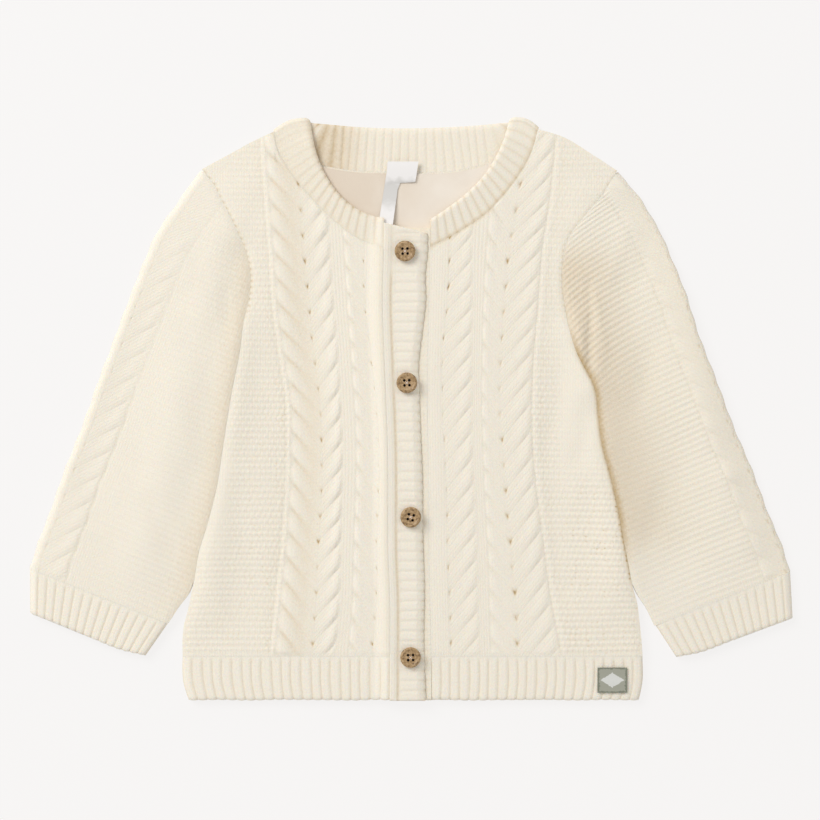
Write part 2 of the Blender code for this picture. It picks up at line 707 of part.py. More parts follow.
def sleeve_inner(side, height):
    """x of a sleeve's inner edge: along the body, then free towards the cuff."""
    edge = LEFT_EDGE if side == "left" else RIGHT_EDGE
    sign = -1 if side == "left" else 1
    x = across(edge, "x", height) + sign * SLEEVE_GAP
    free = SLEEVES[side]["inner"]
    if height < free["height"][-1]:
        x = sign * max(sign * x, sign * across(free, "x", height))
    return x


def along_row(side, start, distance):
    """A point on a sleeve's row, at a distance in from its start."""
    sign = -1 if side == "left" else 1
    return (start[0] - sign * distance * math.cos(ROW_SLOPE),
            start[1] - distance * math.sin(ROW_SLOPE))


def fold_start(side, level):
    """Where the row at a level, measured up the sleeve from its cuff, leaves the fold."""
    sign = -1 if side == "left" else 1
    outer = SLEEVES[side]["outer"]
    base = Vector((outer["x"][0], outer["height"][0]))
    axis = Vector((-sign * math.sin(ROW_SLOPE), math.cos(ROW_SLOPE)))
    low = outer["height"][0] - 40
    high = outer["height"][-1] + 10
    for _ in range(40):
        middle = (low + high) / 2
        point = Vector((across(outer, "x", middle), middle))
        if (point - base).dot(axis) < level:
            low = middle
        else:
            high = middle
    return across(outer, "x", low), low


def crease(side, x, height):
    """Depth of the underarm crease at a point of a sleeve."""
    if side == "left" or not 170 < height < 232:
        return 0.0
    away = abs(x - across(UNDERARM_CREASE, "x", height)) / CREASE_WIDTH
    return across(UNDERARM_CREASE, "depth", height) * ease(1 - away)


def make_sleeve(side):
    """A folded wall: the fold lies on the outer edge, the seam along the body."""
    sign = -1 if side == "left" else 1
    edge = LEFT_EDGE if side == "left" else RIGHT_EDGE
    underarm = LEFT_UNDERARM if side == "left" else RIGHT_UNDERARM
    outer = SLEEVES[side]["outer"]
    free = SLEEVES[side]["inner"]
    cuff = CUFFS[side]

    def fold_distance(x, height):
        return (across(outer, "x", height) - x) * sign * math.cos(ROW_SLOPE)

    def plain(x, height):
        fold = rounded(fold_distance(x, height), FOLD_RADIUS, FOLD_HEIGHT, FRONT_TOP)
        inner = (x - sleeve_inner(side, height)) * sign
        seam = rounded(inner, SEAM_EDGE_REACH, FRONT_TOP - SEAM_EDGE_DROP, FRONT_TOP)
        return min(fold, seam) - crease(side, x, height)

    outer_run = [(across(outer, "x", height), height)
                 for height in steps(outer["height"][0], outer["height"][-1] - 1.5, SLEEVE_STEP)]
    armhole = [edge_point(edge, height, SEAM)
               for height in steps(edge["height"][-1] - 1.0, underarm, ARMHOLE_STEP)]
    inner_run = [(sleeve_inner(side, height), height)
                 for height in steps(underarm - ARMHOLE_STEP, free["height"][0] + 0.5, 9.0)]
    seam = [along(cuff, "seam_x", "seam_height", 1 - i / 10) for i in range(1, 10)]
    seam = [(x, height + SEAM) for x, height in seam]
    outline = outer_run + armhole + inner_run + seam
    if side == "right":
        outline = outline[::-1]
    outline = outline[::-1]
    insets = {point: FOLD_INSET for point in outer_run}
    insets.update({point: ROUND_BELOW for point in inner_run if point[1] < free["height"][-1]})
    rim = [(x, height, plain(x, height), 0.0, insets.get((x, height), 0.0))
           for x, height in outline]

    def row_point(level, distance):
        x, height = along_row(side, fold_start(side, level), distance)
        return x, height, plain(x, height)

    def place(level, run):
        distance = SLEEVE_HOLES[side] + SLEEVE_CABLE[side] * (1 - run)
        return row_point(level, distance)[:2]

    count = int(SLEEVE_REACH / SLEEVE_CABLE_PITCH) + 2
    levels = [k * SLEEVE_CABLE_PITCH for k in range(-2, count)]
    lines = strand_lines(place, levels, SLEEVE_CABLE_PITCH, plain)
    lines.append(hole_line(place, levels, SLEEVE_CABLE_PITCH, plain))
    width = SLEEVE_HOLES[side] + SLEEVE_CABLE[side]
    for distance in (width + 2, width + 22):
        lines.append([row_point(level, distance)
                      for level in steps(4, SLEEVE_REACH, ROW_STEP)])
    if side == "left":
        ridge = [row_point(level, FOLD_RADIUS * 0.4)
                 for level in steps(4, SLEEVE_REACH, SLEEVE_CABLE_PITCH / 2)]
        lines.append([(x, height, z + BORDER_RELIEF) for x, height, z in ridge])
    else:
        for offset in (-CREASE_WIDTH, 0.0, CREASE_WIDTH):
            spots = [(across(UNDERARM_CREASE, "x", height) + offset, height)
                     for height in steps(178, 228, 10)]
            lines.append([(x, height, plain(x, height)) for x, height in spots])
    made = wall("sleeve_" + side, rim, lines, KNIT_CREAM)

    # The space between the two layers, open at the armhole, the underarm and the cuff.
    inside = [(across(outer, "x", height) - sign * FOLD_WALL, height)
              for height in steps(outer["height"][0] - 30, outer["height"][-1] - 9, 9.0)]
    far = [(sign * SLIT_END, inside[-1][1] + 6), (sign * SLIT_END, inside[0][1] - 20)]
    make_slit(made, inside + far, side)


def make_slit(target, outline, side):
    """Parts the two layers of a folded piece."""
    if side == "left":
        outline = outline[::-1]
    bm = bmesh.new()
    low = [bm.verts.new((x, height, BACK_TOP)) for x, height in outline]
    face = bm.faces.new(low)
    raised = bmesh.ops.extrude_face_region(bm, geom=[face])["geom"]
    up = [v for v in raised if isinstance(v, bmesh.types.BMVert)]
    bmesh.ops.translate(bm, verts=up, vec=(0, 0, GAP))
    cut_away(target, add_object(target.name + "_slit", bm, KNIT_CREAM))


def make_cuff(side):
    """A folded rib: its ribs run from the cuff seam to the opening."""
    sign = -1 if side == "left" else 1
    cuff = CUFFS[side]
    places = rib_positions(0.0, 1.0, CUFF_RIBS)
    width = math.dist((cuff["seam_x"][0], cuff["seam_height"][0]),
                      (cuff["seam_x"][-1], cuff["seam_height"][-1]))

    def spot(share, down):
        sx, sh = along(cuff, "seam_x", "seam_height", share)
        ex, eh = along(cuff, "end_x", "end_height", share)
        return sx + (ex - sx) * down, sh - SEAM + (eh - sh + SEAM) * down

    def high(share, down, wave, drop=0.0):
        x, height = spot(share, down)
        fold = rounded(share * width, FOLD_RADIUS, FOLD_HEIGHT, FRONT_TOP)
        seam = rounded((1 - share) * width, RIB_EDGE_REACH, FRONT_TOP - RIB_EDGE_DROP, FRONT_TOP)
        top = min(fold, seam) + RIB_RELIEF * wave * ease(share * width / FOLD_RADIUS)
        least = FOLD_HEIGHT if share == 0 else FRONT_UNDERSIDE + LEAST_EDGE
        return x, height, max(top - drop, least)

    seam_run = []
    end_run = []
    lines = []
    for share, wave in places:
        seam_run.append(high(share, 0.0, wave * SEAM_RIB_SHARE))
        end_run.append(high(share, 1.0, wave, LOW_EDGE_DROP))
        lines.append([high(share, down, wave) for down in (0.16, 0.93)])
    fold_run = [high(0.0, down, 0.0) for down in (0.35, 0.65)]
    inner_run = [high(1.0, down, 0.0) for down in (0.65, 0.35)]
    at_fold = set(fold_run + [seam_run[0], end_run[0]])
    loop = end_run + inner_run + seam_run[::-1] + fold_run
    if side == "right":
        loop = loop[::-1]
    rim = [(x, height, z, 0.0, ROUND_BELOW if (x, height, z) in at_fold else 0.0)
           for x, height, z in loop]
    made = wall("cuff_" + side, rim, lines, KNIT_CREAM)
    start = spot(0.0, -0.3)
    end = spot(0.0, 1.3)
    outline = [(end[0] - sign * FOLD_WALL, end[1]), (start[0] - sign * FOLD_WALL, start[1]),
               (sign * SLIT_END, start[1]), (sign * SLIT_END, end[1] - CUFF_FALL)]
    make_slit(made, outline, side)


# Neck ---------------------------------------------------------------------------------


def loft(name, rings, finish):
    """A closed skin through rings of points, with a cap on each end."""
    bm = bmesh.new()
    loops = [[bm.verts.new(point) for point in ring] for ring in rings]
    for ring, after in zip(loops, loops[1:]):
        for i in range(len(ring)):
            j = (i + 1) % len(ring)
            bm.faces.new((ring[i], ring[j], after[j], after[i]))
    bm.faces.new(loops[0][::-1])
    bm.faces.new(loops[-1])
    return add_object(name, bm, finish)


def band_ring(seam, free, seam_z, free_z, normal, wave, inner_wave):
    """One section of the neckband: five points round its wall."""
    seam_mid = Vector((seam[0], seam[1], seam_z))
    free_mid = Vector((free[0], free[1], free_z))
    inboard = seam_mid.lerp(free_mid, 0.9)
    out = normal * (WALL / 2)
    bump = normal * (RIB_RELIEF * wave)
    dent = normal * (-RIB_RELIEF * inner_wave)
    return [seam_mid + out + bump * 0.6, inboard + out + bump, free_mid,
            inboard - out + dent, seam_mid - out + dent * 0.6]


def make_neckband():
    """One rib strip from centre front to centre front, folded over at both shoulders."""
    up = Vector((0, 0, 1))
    front_z = FRONT_UNDERSIDE + WALL / 2
    back_z = WALL / 2
    rings = []

    def front_rings(sizes, ribs, climb):
        made = []
        for share, wave in rib_positions(0.0, 1.0, ribs):
            seam = along(sizes, "seam_x", "seam_height", share)
            free = along(sizes, "free_x", "free_height", share)
            rise = climb(seam[0])
            opening = FREE_EDGE_RISE * ease((1 - share) * CORNER_SHARE)
            free_z = front_z + max(rise, opening)
            made.append(band_ring(seam, free, front_z + rise, free_z, up, wave, 0.0))
        return made

    def fold_rings(sizes, row, outwards):
        """Half a turn round the shoulder corner, from the front layer down to the back."""
        seam = (sizes["seam_x"][row], sizes["seam_height"][row])
        free = (sizes["free_x"][row], sizes["free_height"][row])
        radius = (front_z - back_z) / 2
        made = []
        for turn in range(1, FOLD_PARTS):
            angle = math.pi * turn / FOLD_PARTS
            normal = outwards * math.sin(angle) + up * math.cos(angle)
            shift = outwards * (radius * math.sin(angle))
            z = back_z + radius + radius * math.cos(angle)
            moved_seam = (seam[0] + shift.x, seam[1] + shift.y)
            moved_free = (free[0] + shift.x, free[1] + shift.y)
            made.append(band_ring(moved_seam, moved_free, z, z, normal, 0.0, 0.0))
        return made

    def left_climb(x):
        return climb_to(NECK_LEFT["seam_x"][0], x)

    def outward(sizes, row, sign):
        run = Vector((sizes["free_x"][row] - sizes["seam_x"][row],
                      sizes["free_height"][row] - sizes["seam_height"][row], 0)).normalized()
        return Vector((-run.y, run.x, 0)) * sign

    rings += front_rings(NECK_LEFT, NECK_RIBS["left"], left_climb)
    rings += fold_rings(NECK_LEFT, -1, outward(NECK_LEFT, -1, 1))
    back = []
    for share, wave in rib_positions(0.0, 1.0, NECK_RIBS["back"]):
        seam = along(NECK_BACK, "seam_x", "seam_height", share)
        free = along(NECK_BACK, "free_x", "free_height", share)
        from_corner = 0.5 - abs(share - 0.5)
        shown = ease((from_corner - 0.1) * 2 * CORNER_SHARE)
        back.append(band_ring(seam, free, back_z, back_z, -up, 0.0, wave * shown))
    rings += back
    rings += fold_rings(NECK_RIGHT, 0, outward(NECK_RIGHT, 0, -1))[::-1]
    rings += front_rings(NECK_RIGHT_FROM_CENTRE, NECK_RIBS["right"], lambda x: 0.0)[::-1]
    loft("neckband", rings, KNIT_CREAM)


NECK_RIGHT_FROM_CENTRE = {name: values[::-1] for name, values in NECK_RIGHT.items()}


def nearest(points, curve):
    """The point of a line that comes nearest to a curve."""
    return min(points, key=lambda point: min(math.dist(point, other) for other in curve))


def make_lining():
    """The smooth lining that shows inside the neck, tucked a little under the neckband."""
    fractions = [i / NECK_RIBS["left"] for i in range(NECK_RIBS["left"] + 1)]
    left = [along(NECK_LEFT, "free_x", "free_height", share) for share in fractions]
    right = [along(NECK_RIGHT, "free_x", "free_height", share) for share in fractions]
    back = [along(NECK_BACK, "seam_x", "seam_height", share) for share in fractions]
    left = away_from(left, LINING_TUCK, 1)
    right = away_from(right, LINING_TUCK, 1)
    top_left = nearest(left, back)
    top_right = nearest(right, back)
    base = BAND_TOP_RIGHT + BAND_UNDER_EXTRA + SEAM
    corner = 1.5
    side_left = [p for p in left if base + corner < p[1] < top_left[1] - corner]
    side_right = [p for p in right if base + corner < p[1] < top_right[1] - corner]
    across_top = [(x, height - 1.0) for x, height in back
                  if top_left[0] + corner < x < top_right[0] - corner]
    loop = [(x, base) for x in LINING_BASE]
    loop += side_right[::-1] + across_top[::-1] + side_left[::-1]
    low = BACK_TOP + GAP
    rim = [(x, height, low + LINING_THICKNESS, low, 0.0) for x, height in loop]
    wall("lining_back", rim, [], JERSEY_CREAM)


# Trim ---------------------------------------------------------------------------------


def circle(radius, z):
    """Points round the middle of the garment's length, where add_object puts its centre."""
    turns = [2 * math.pi * i / BUTTON_SIDES for i in range(BUTTON_SIDES)]
    return [(radius * math.cos(turn), GARMENT_LENGTH / 2 + radius * math.sin(turn), z)
            for turn in turns]


def make_button_mesh():
    """A turned button with a raised rim and four holes."""
    radius = BUTTON_DIAMETER / 2
    rings = [circle(radius - inwards, up)
             for inwards, up in zip(BUTTON_PROFILE["inwards"], BUTTON_PROFILE["up"])]
    blank = loft("button_blank", rings, WOOD_BROWN)
    bm = bmesh.new()
    for quarter in range(4):
        angle = math.radians(45 + 90 * quarter)
        place = Matrix.Translation((BUTTON_HOLE_CIRCLE * math.cos(angle),
                                    GARMENT_LENGTH / 2 + BUTTON_HOLE_CIRCLE * math.sin(angle),
                                    BUTTON_THICKNESS / 2))
        bmesh.ops.create_cone(bm, cap_ends=True, segments=6, radius1=BUTTON_HOLE_RADIUS,
                              radius2=BUTTON_HOLE_RADIUS, depth=2 * BUTTON_THICKNESS,
                              matrix=place)
    holes = add_object("button_holes", bm, WOOD_BROWN)
    cut_away(blank, holes)
    graph = bpy.context.evaluated_depsgraph_get()
    pierced = bpy.data.meshes.new_from_object(blank.evaluated_get(graph))
    bpy.data.objects.remove(blank)
    bpy.data.objects.remove(holes)
    return pierced


def make_buttons():
    mesh = make_button_mesh()
    seat = FRONT_UNDERSIDE + BAND_LIFT + WALL + RIB_RELIEF + GAP
    for i in range(len(BUTTONS["height"])):
        lean = math.radians(BUTTONS["tilt"][i])
        height = BUTTONS["height"][i] - GARMENT_LENGTH / 2
        raised = BUTTON_DIAMETER / 2 * math.sin(lean)
        button = bpy.data.objects.new(f"button_{i + 1}", mesh)
        button.location = Vector((BUTTONS["x"][i], height, seat + raised)) * MM
        button.rotation_euler = (lean, 0, math.radians(BUTTONS["turn"][i]))
        bpy.context.scene.collection.objects.link(button)


def make_label(name, corners, low, finish):
    rim = [(x, height, low + LABEL_THICKNESS, low, 0.0)
           for x, height in zip(corners["x"], corners["height"])]
    wall(name, rim, [], finish)


def make_labels():
    make_label("neck_label", NECK_LABEL, BACK_TOP + 2 * GAP + LINING_THICKNESS, SATIN_WHITE)
    make_label("hem_label", HEM_LABEL, FRONT_TOP + RIB_RELIEF + GAP, WOVEN_SAGE)


def main():
    for old in list(bpy.data.objects):
        bpy.data.objects.remove(old)
    make_back()
    make_hem_back()
    for side in ("left", "right"):
        make_front(side)
        make_hem_front(side)
        make_sleeve(side)
        make_cuff(side)
    make_neckband()
    make_lining()
    make_band_button()
    make_band_buttonhole()
    make_buttons()
    make_labels()


main()
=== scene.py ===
"""Looks of a baby cardigan in cable knit, laid flat on its back and buttoned up.

Left and right are as seen from above with the neck at +Y. Sizes are in millimetres, and a
height is measured up the garment from the lower edge of its hem. The mesh of a piece is
turned into metres when it is made.
"""
import math

import bmesh
import bpy
import numpy as np
from mathutils import Matrix, Vector


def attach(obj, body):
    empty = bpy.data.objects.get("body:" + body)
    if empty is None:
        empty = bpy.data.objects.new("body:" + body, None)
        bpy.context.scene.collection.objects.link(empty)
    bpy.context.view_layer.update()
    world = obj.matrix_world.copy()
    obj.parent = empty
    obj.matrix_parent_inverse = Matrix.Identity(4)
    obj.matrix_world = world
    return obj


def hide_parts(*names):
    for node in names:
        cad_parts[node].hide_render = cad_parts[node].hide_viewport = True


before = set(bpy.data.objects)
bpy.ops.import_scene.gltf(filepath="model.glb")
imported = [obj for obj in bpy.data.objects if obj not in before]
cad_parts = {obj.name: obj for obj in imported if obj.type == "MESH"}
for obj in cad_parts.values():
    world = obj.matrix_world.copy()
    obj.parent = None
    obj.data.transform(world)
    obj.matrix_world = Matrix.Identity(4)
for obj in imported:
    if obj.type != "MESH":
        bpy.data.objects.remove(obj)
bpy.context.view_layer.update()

bl_info = {
    "name": "Baby cardigan",
    "version": (1, 0, 0),
    "blender": (4, 5, 0),
    "location": "3D View > Sidebar > Cardigan",
    "description": "Knits, sews and lays out a buttoned baby cardigan",
    "category": "Add Mesh",
}

MM = 0.001
GARMENT_LENGTH = 317.0      # lower edge of the hem to the top of the neckband
HEM_HEIGHT = 24.0
WALL = 2.5                  # thickness of the knitted cloth
GAP = 0.3                   # between layers that lie on each other
SEAM = 0.02                 # between pieces that are sewn edge to edge
BACK_TOP = WALL
FRONT_UNDERSIDE = BACK_TOP + GAP
FRONT_TOP = FRONT_UNDERSIDE + WALL
BAND_LIFT = WALL + GAP
LIFT_RUN = 9.0

CABLE_PITCH = 13.85
SLEEVE_CABLE_PITCH = 14.6
FIRST_CROSSING = 30.3
CABLE_CLIMB = 1.16          # climb of a strand over its half cable's width
CABLE_BED = 0.4             # middle height of a cable over the plain cloth
CABLE_DEPTH = {"left": 1.1, "right": 0.68}
CABLE_HOLES = {"left": 1.0, "right": 1.45}
# strength of the painted highlight and shade on a front's cable strands
CABLE_SHADING = {"left": (3.6, 1.3, 3.0), "right": (1.3, 4.0, 1.3)}    # twin, twin, single
CABLE_SHADE = {"left": 0.62, "right": 0.0}        # painted shade on the cable beside the side panel
# painted shadow along a front's side edge and on the sleeve beside it
EDGE_SHADE = {"left": 0.0, "right": 1.4}
# painted shadow along the neckline seam
NECK_SHADE = {"left": 0.25, "right": 1.0}
SIDE_DROP = 0.7
SIDE_REACH = 6.0
ARMHOLE_DROP = 0.5
ARMHOLE_REACH = 3.0
UNDERARM_BLEND = 12.0
SEAM_EDGE_DROP = 0.6
SEAM_EDGE_REACH = 4.0
RIB_EDGE_DROP = 1.5
RIB_EDGE_REACH = 5.0
LOW_EDGE_DROP = 1.4
SLIVER = 0.01               # points closer than this are one
SEWN_LEVEL = 0.3            # over the plain cloth, where a rib is sewn to other knit
RIB_PITCH = 5.3
BAND_RIB_PITCH = 5.4
GARTER_PITCH = 3.3          # from one garter ridge to the next
STITCH_WIDTH = 2.9
ROW_HEIGHT = 1.75
STITCHES_PER_STRAND = 3
STRAND_BEND = 0.92          # below 1 a strand turns down towards its hole
POINT_SPACING = 0.62        # between the points of a front or a sleeve, about

# Millimetres across and up the faces that follow the point spacing.
FRONT_FACE = (112, 285)
SLEEVE_FACE = (76, 236)
# Points across and up the other faces, or across one rib and up it.
BACK_GRID = (130, 160)
BAND_GRID = (40, 519)
BAND_UNDER_GRID = (22, 300)
LINING_GRID = (90, 36)
HEM_RIB_GRID = (13, 46)
HEM_BACK_RIB_GRID = (6, 12)
CUFF_RIB_GRID = (14, 46)
NECK_RIB_GRID = (12, 24)
BACK_HEM_RIBS = 47
BAND_UNDER_RIBS = 48
BODY_TOP_RANGE = (180.0, 314.0)     # where the body's upper edge is looked for
LINING_TOP_RANGE = (257.0, 300.0)

# Mean width and length of a piece of cloth, for its area; a cuff's are of one layer.
HEM_BACK_WIDTH = 245.0
BAND_SIZE = (20.0, 256.0)
BAND_UNDER_SIZE = (23.0, 256.0)
CUFF_SIZE = (74.0, 24.0)
NECKBAND_SIZE = (16.5, 330.0)
NECK_LABEL_AREA = 340.0
HEM_LABEL_AREA = 216.0

LINING_WALL = 1.0
LINING_TUCK = 1.0               # how far the lining stops below the neckband's seam
JERSEY_STITCH = (1.1, 0.9)      # width and height
NECKBAND_DEPTH = 16.0           # from its seam to its free edge
BUTTON_THICKNESS = 2.6          # of the solid that a button stands for
BUTTON_INSET = 0.1              # how far a button's mesh stays inside that solid
BUTTON_LIFT = 1.0               # over the band's cloth
BUTTON_LEAN_RADIUS = 5.7        # from the middle of that solid to the rim it leans on
BUTTON_HOLE_SPREAD = 1.9        # from a button's middle to a hole's middle
BUTTON_HOLE_HEIGHT = 1.4        # of the middle of the cone that cuts a hole
THREAD_HEIGHT = 2.1
THREAD_SIZE = (1.1, 0.24, 0.18)     # half of its length, width and height
NECK_LABEL_THICKNESS = 0.4
HEM_LABEL_THICKNESS = 0.6
HEM_LABEL_LIFT = 0.7            # for the hem's ribs under the side label
HEM_LABEL_MIDDLE = (0.1094, -0.1473)    # this and the next in metres, for its material
HEM_LABEL_HALF = (0.008, 0.0068)
LABEL_STEP = 0.8                # between the rows of a label's points

FLOOR_GLOW = 0.815
ROOM_LIGHT = 0.63
LAMP_POWER = 45.0
LAMP_SIZE = 1.7                 # this and the rest of the stage in metres
LAMP_PLACE = (-1.6, 1.4, 2.0)
FLOOR_SIZE = 4.0
FLOOR_DROP = 0.0003
EYE_PLACE = (-0.0003, -0.0008, 1.489)
LENS = 120.0
SENSOR = 36.0

KNIT_LAYERS = ("relief", "wale", "row")
SIGN = {"left": -1, "right": 1}    # which way x runs, from the middle outwards


def table(columns, *rows):
    """Sizes in millimetres under named columns."""
    names = columns.split()
    return {name: np.array([row[i] for row in rows], float) for i, name in enumerate(names)}


BUTTONS = table(
    "height x tilt turn",
    (243.8, -3.0, 6, 2), (172.4, -2.0, 0, 3), (99.7, 0.1, 0, -14), (23.8, 0.0, 0, 1),
)
NECK_LABEL = table(
    "x height",
    (-17.2, 259.8), (-9.6, 258.4), (-7.0, 277.5), (-5.6, 281), (2.6, 281.5), (4.4, 292.6),
    (-12.4, 292.6), (-12.8, 288),
)
HEM_LABEL = table("x height", (101.4, 4.4), (117.4, 4.4), (117.4, 18), (101.4, 18))

LEFT_EDGE = table(
    "height x",
    (0, -120.5), (9, -123), (24, -123.8), (41, -123), (49.5, -120.8), (65, -117.6),
    (81, -114.8), (95, -110.5), (114, -105.6), (141, -101.3), (168, -96.9), (190, -92.6),
    (206, -90.5), (220, -87.4), (232, -86.9), (243, -89.2), (258, -95.5), (271.5, -102.4),
    (281.5, -107.6), (288.4, -113.4),
)
RIGHT_EDGE = table(
    "height x",
    (0, 124), (9, 126), (24, 126), (43, 124.3), (53, 123), (62, 120.5), (74.5, 118),
    (87, 115.6), (109, 111.5), (125, 107.5), (139, 103.8), (156, 101.6), (166, 100.6),
    (174, 98), (181, 94.2), (187, 90.9), (201.5, 86.1), (212, 84), (226, 82.1), (239, 82.4),
    (251, 85.5), (264, 95), (274, 103.5), (281, 108), (287.6, 112.2),
)
EDGES = {"left": LEFT_EDGE, "right": RIGHT_EDGE}
UNDERARM = {"left": 206.0, "right": 174.0}
GUIDE_COLUMNS = "height garter_edge twin_holes twin_inner single_outer single_holes band_seam"
LEFT_GUIDES = table(
    GUIDE_COLUMNS,
    (0, -75.5, -54.5, -41.5, -34.5, -21.5, -11.4),
    (24, -74, -53.5, -41, -34, -21, -11.2),
    (54, -71, -51.3, -38.3, -31.8, -18.4, -11.2),
    (81.5, -68, -50.2, -37.7, -31, -18.2, -12.2),
    (109, -66, -48.6, -37.2, -30.1, -17.4, -12.2),
    (136, -64.9, -48.1, -36.7, -29.6, -17.2, -12.4),
    (163, -65.4, -49.4, -37.7, -30.7, -18.7, -13.3),
    (190, -69.4, -52.7, -39.1, -32.6, -21.7, -14.4),
    (217, -72.8, -55.4, -41.5, -34.5, -24.6, -15.2),
    (244, -74.7, -57.8, -43.2, -36.1, -25.2, -14.6),
    (271.5, -76.8, -60, -44.8, -37.7, -26.3, -14.4),
    (312, -80, -63, -47, -40, -28, -14.4),
)
RIGHT_GUIDES = table(
    GUIDE_COLUMNS,
    (0, 82.5, 59, 43.8, 38.2, 21.5, 11.3),
    (24, 81.4, 58.4, 43.4, 37.8, 21.4, 11.1),
    (54, 76, 57, 42.6, 37, 21.1, 10.6),
    (81.5, 72.2, 54.6, 41.8, 36.2, 19.8, 10),
    (109, 68.7, 52.1, 40.2, 35, 19.2, 10),
    (136, 66, 50, 39.2, 33.9, 18.2, 9.6),
    (163, 65.4, 48.3, 38.5, 33.7, 17, 9.2),
    (190, 66.7, 49.1, 38.8, 33.7, 17.2, 9.5),
    (217, 69, 50.8, 39.5, 33.9, 19.8, 10),
    (244, 71, 53.5, 41, 33.5, 20.9, 10.6),
    (271.5, 75, 58.2, 43.2, 34.5, 21.4, 10.6),
    (312, 79, 62, 46.5, 36, 22, 10.6),
)
GUIDES = {"left": LEFT_GUIDES, "right": RIGHT_GUIDES}
SHOULDERS = table(
    "x height",
    (-113.4, 288.4), (-99, 296.2), (-84, 304.3), (-74.5, 308.7), (70, 310), (84, 305.4),
    (99, 296.2), (112.2, 287.6),
)
NECK_COLUMNS = "seam_x seam_height free_x free_height"
NECK_LEFT = table(
    NECK_COLUMNS,
    (-14.4, 246.3, -14.4, 261.9), (-24.2, 248.9, -22.2, 263.7), (-41.2, 260.2, -32.3, 269.1),
    (-55.3, 274.5, -41.2, 278), (-68.1, 291.6, -48.3, 290), (-72.5, 301, -52.5, 303),
    (-73.8, 307.2, -53.9, 314.2),
)
NECK_BACK = table(
    NECK_COLUMNS,
    (-73.8, 307.2, -53.9, 314.2), (-59, 294.5, -41, 312.8), (-38.3, 288.9, -25.8, 311.6),
    (-5.7, 287.2, -6, 311), (26.9, 288.3, 19.2, 311.6), (50, 295, 40.5, 313),
    (68.8, 308.7, 53, 314.4),
)
NECK_RIGHT = table(
    NECK_COLUMNS,
    (10.7, 246.3, 10.7, 261.2), (26.4, 254.7, 16.5, 265), (39.9, 263.7, 28.2, 273.6),
    (53.4, 278.1, 39.9, 285.3), (62.4, 291.5, 47, 296.5), (66.9, 301.5, 50.6, 305),
    (68.8, 308.7, 53, 314.4),
)
NECKS = {"left": NECK_LEFT, "right": NECK_RIGHT}
# Where a back rib meets the seam, so that the ribs stand upright where they show.
UPRIGHT = table("free seam", (0, 0), (0.1, 0.2), (0.25, 0.325), (0.5, 0.51), (0.75, 0.71),
                (0.9, 0.825), (1, 1))
NECK_RIBS = {"left": 16, "back": 24, "right": 16}
NECK_RIB_DEPTH = {"left": 0.75, "right": 1.0}
NECK_RIB_FADE = {"left": 0.8, "right": 0.35}     # towards the shoulder
FREE_EDGE_RISE = 1.6
CORNER_SHARE = 6
TUCK = 0.02                 # share by which the free edge draws in at a shoulder corner
TUCK_REACH = 8.0
FRONT_SEAM_RUN = 90.0       # length of the neckband's seam along a front
BACK_SEAM_RUN = 150.0       # and along the back
CORNER_BULGE = 2.2          # how far a shoulder corner bows out
LINING = table(
    "height left right",
    (256.52, -12.5, 10.6), (262, -22.5, 15.8), (266, -30, 21.5), (271, -36.5, 28),
    (278, -42.8, 35.8), (284, -46.5, 41.5), (291.8, -49.4, 45),
)

BAND_EDGE = table(
    "height x",
    (0, 8.2), (27, 7.3), (40, 7.2), (61, 7.6), (88, 6.6), (120, 6.4), (141.5, 5.6),
    (163, 4.9), (181, 4.3), (203, 6.7), (217, 8.2), (231, 7.9), (244.5, 9.2), (254, 9.2),
)
BAND_EDGE_DROP = 0.7
BAND_ROLL = 4.6             # from the seam to the groove beside the smooth roll
STRIP_END = {"left": 0.55, "right": 0.4}        # level of a front's cloth at its band
# painted shade on a front's strip towards the band
STRIP_SHADE = {"left": 0.4, "right": 0.0}
# A groove and a ridge run along the side panel.
GROOVE_AT = {"left": 2.6, "right": 0.6}
RIDGE_AT = {"left": 0.6, "right": 2.8}
RIDGE_RISE = {"left": 0.35, "right": 0.15}
# painted shade in the armhole seam
SEWN_SHADE = {"left": 1.2, "right": 0.8}
BAND_TOP_LEFT = 259.5
BAND_TOP_RIGHT = 253.5
BAND_UNDER_EXTRA = 3.0
BAND_UNDER_START = 1.2

SLEEVES = {
    "left": {
        "outer": table(
            "height x",
            (71.7, -207), (84, -203.2), (100.5, -196.8), (125, -188.2), (149, -178.6),
            (174, -169.7), (198, -160.6), (222.5, -151.4), (239, -144.8), (255, -137.5),
            (263.5, -131.8), (271.5, -126), (279.5, -120.6), (288.4, -113.7),
        ),
        "inner": table(
            "height x", (41.8, -131.7), (50.5, -126.0), (58, -120.4), (64, -117.9),
        ),
    },
    "right": {
        "outer": table(
            "height x",
            (70, 206.3), (84, 202), (100.5, 195), (125, 185.8), (149, 175.5), (174, 166.2),
            (198, 156.8), (222.5, 149), (239, 142.3), (255, 135.5), (263.5, 130.6),
            (271.5, 125.8), (279.5, 119.4), (287.6, 112.5),
        ),
        "inner": table(
            "height x", (40.2, 132.8), (50.5, 127.7), (57, 123.4), (63, 120.4),
        ),
    },
}
ROW_SLOPE = math.radians(21.8)
SLEEVE_HOLES = {"left": 5.0, "right": 2.0}
SLEEVE_CABLE = {"left": 15.5, "right": 13.5}
SLEEVE_CABLE_LEAST = {"left": 0.05, "right": 0.3}      # of its depth, by the shoulder
SLEEVE_GAP = 0.03
FOLD_CABLE = 9.0            # width of the half cable that turns over the fold
SHADE_REACH = {"left": 12.0, "right": 38.0}     # painted shade on a sleeve beside the body
SHADE_DEPTH = {"left": 0.75, "right": 0.95}
SHADE_FROM = {"left": 30.0, "right": 60.0}
GARTER_CLEAR = {"left": 0.28, "right": 0.9}
ROW_TURN = {"left": 0.0, "right": 0.5}          # extra slope of the rows by the armhole
GARTER_BUMPS = {"left": 0.5, "right": 0.22}
OUTER_FALL = {"left": 0.0, "right": 1.1}        # how far the outer side sinks to its fold
FOLD_RADIUS = 5.0
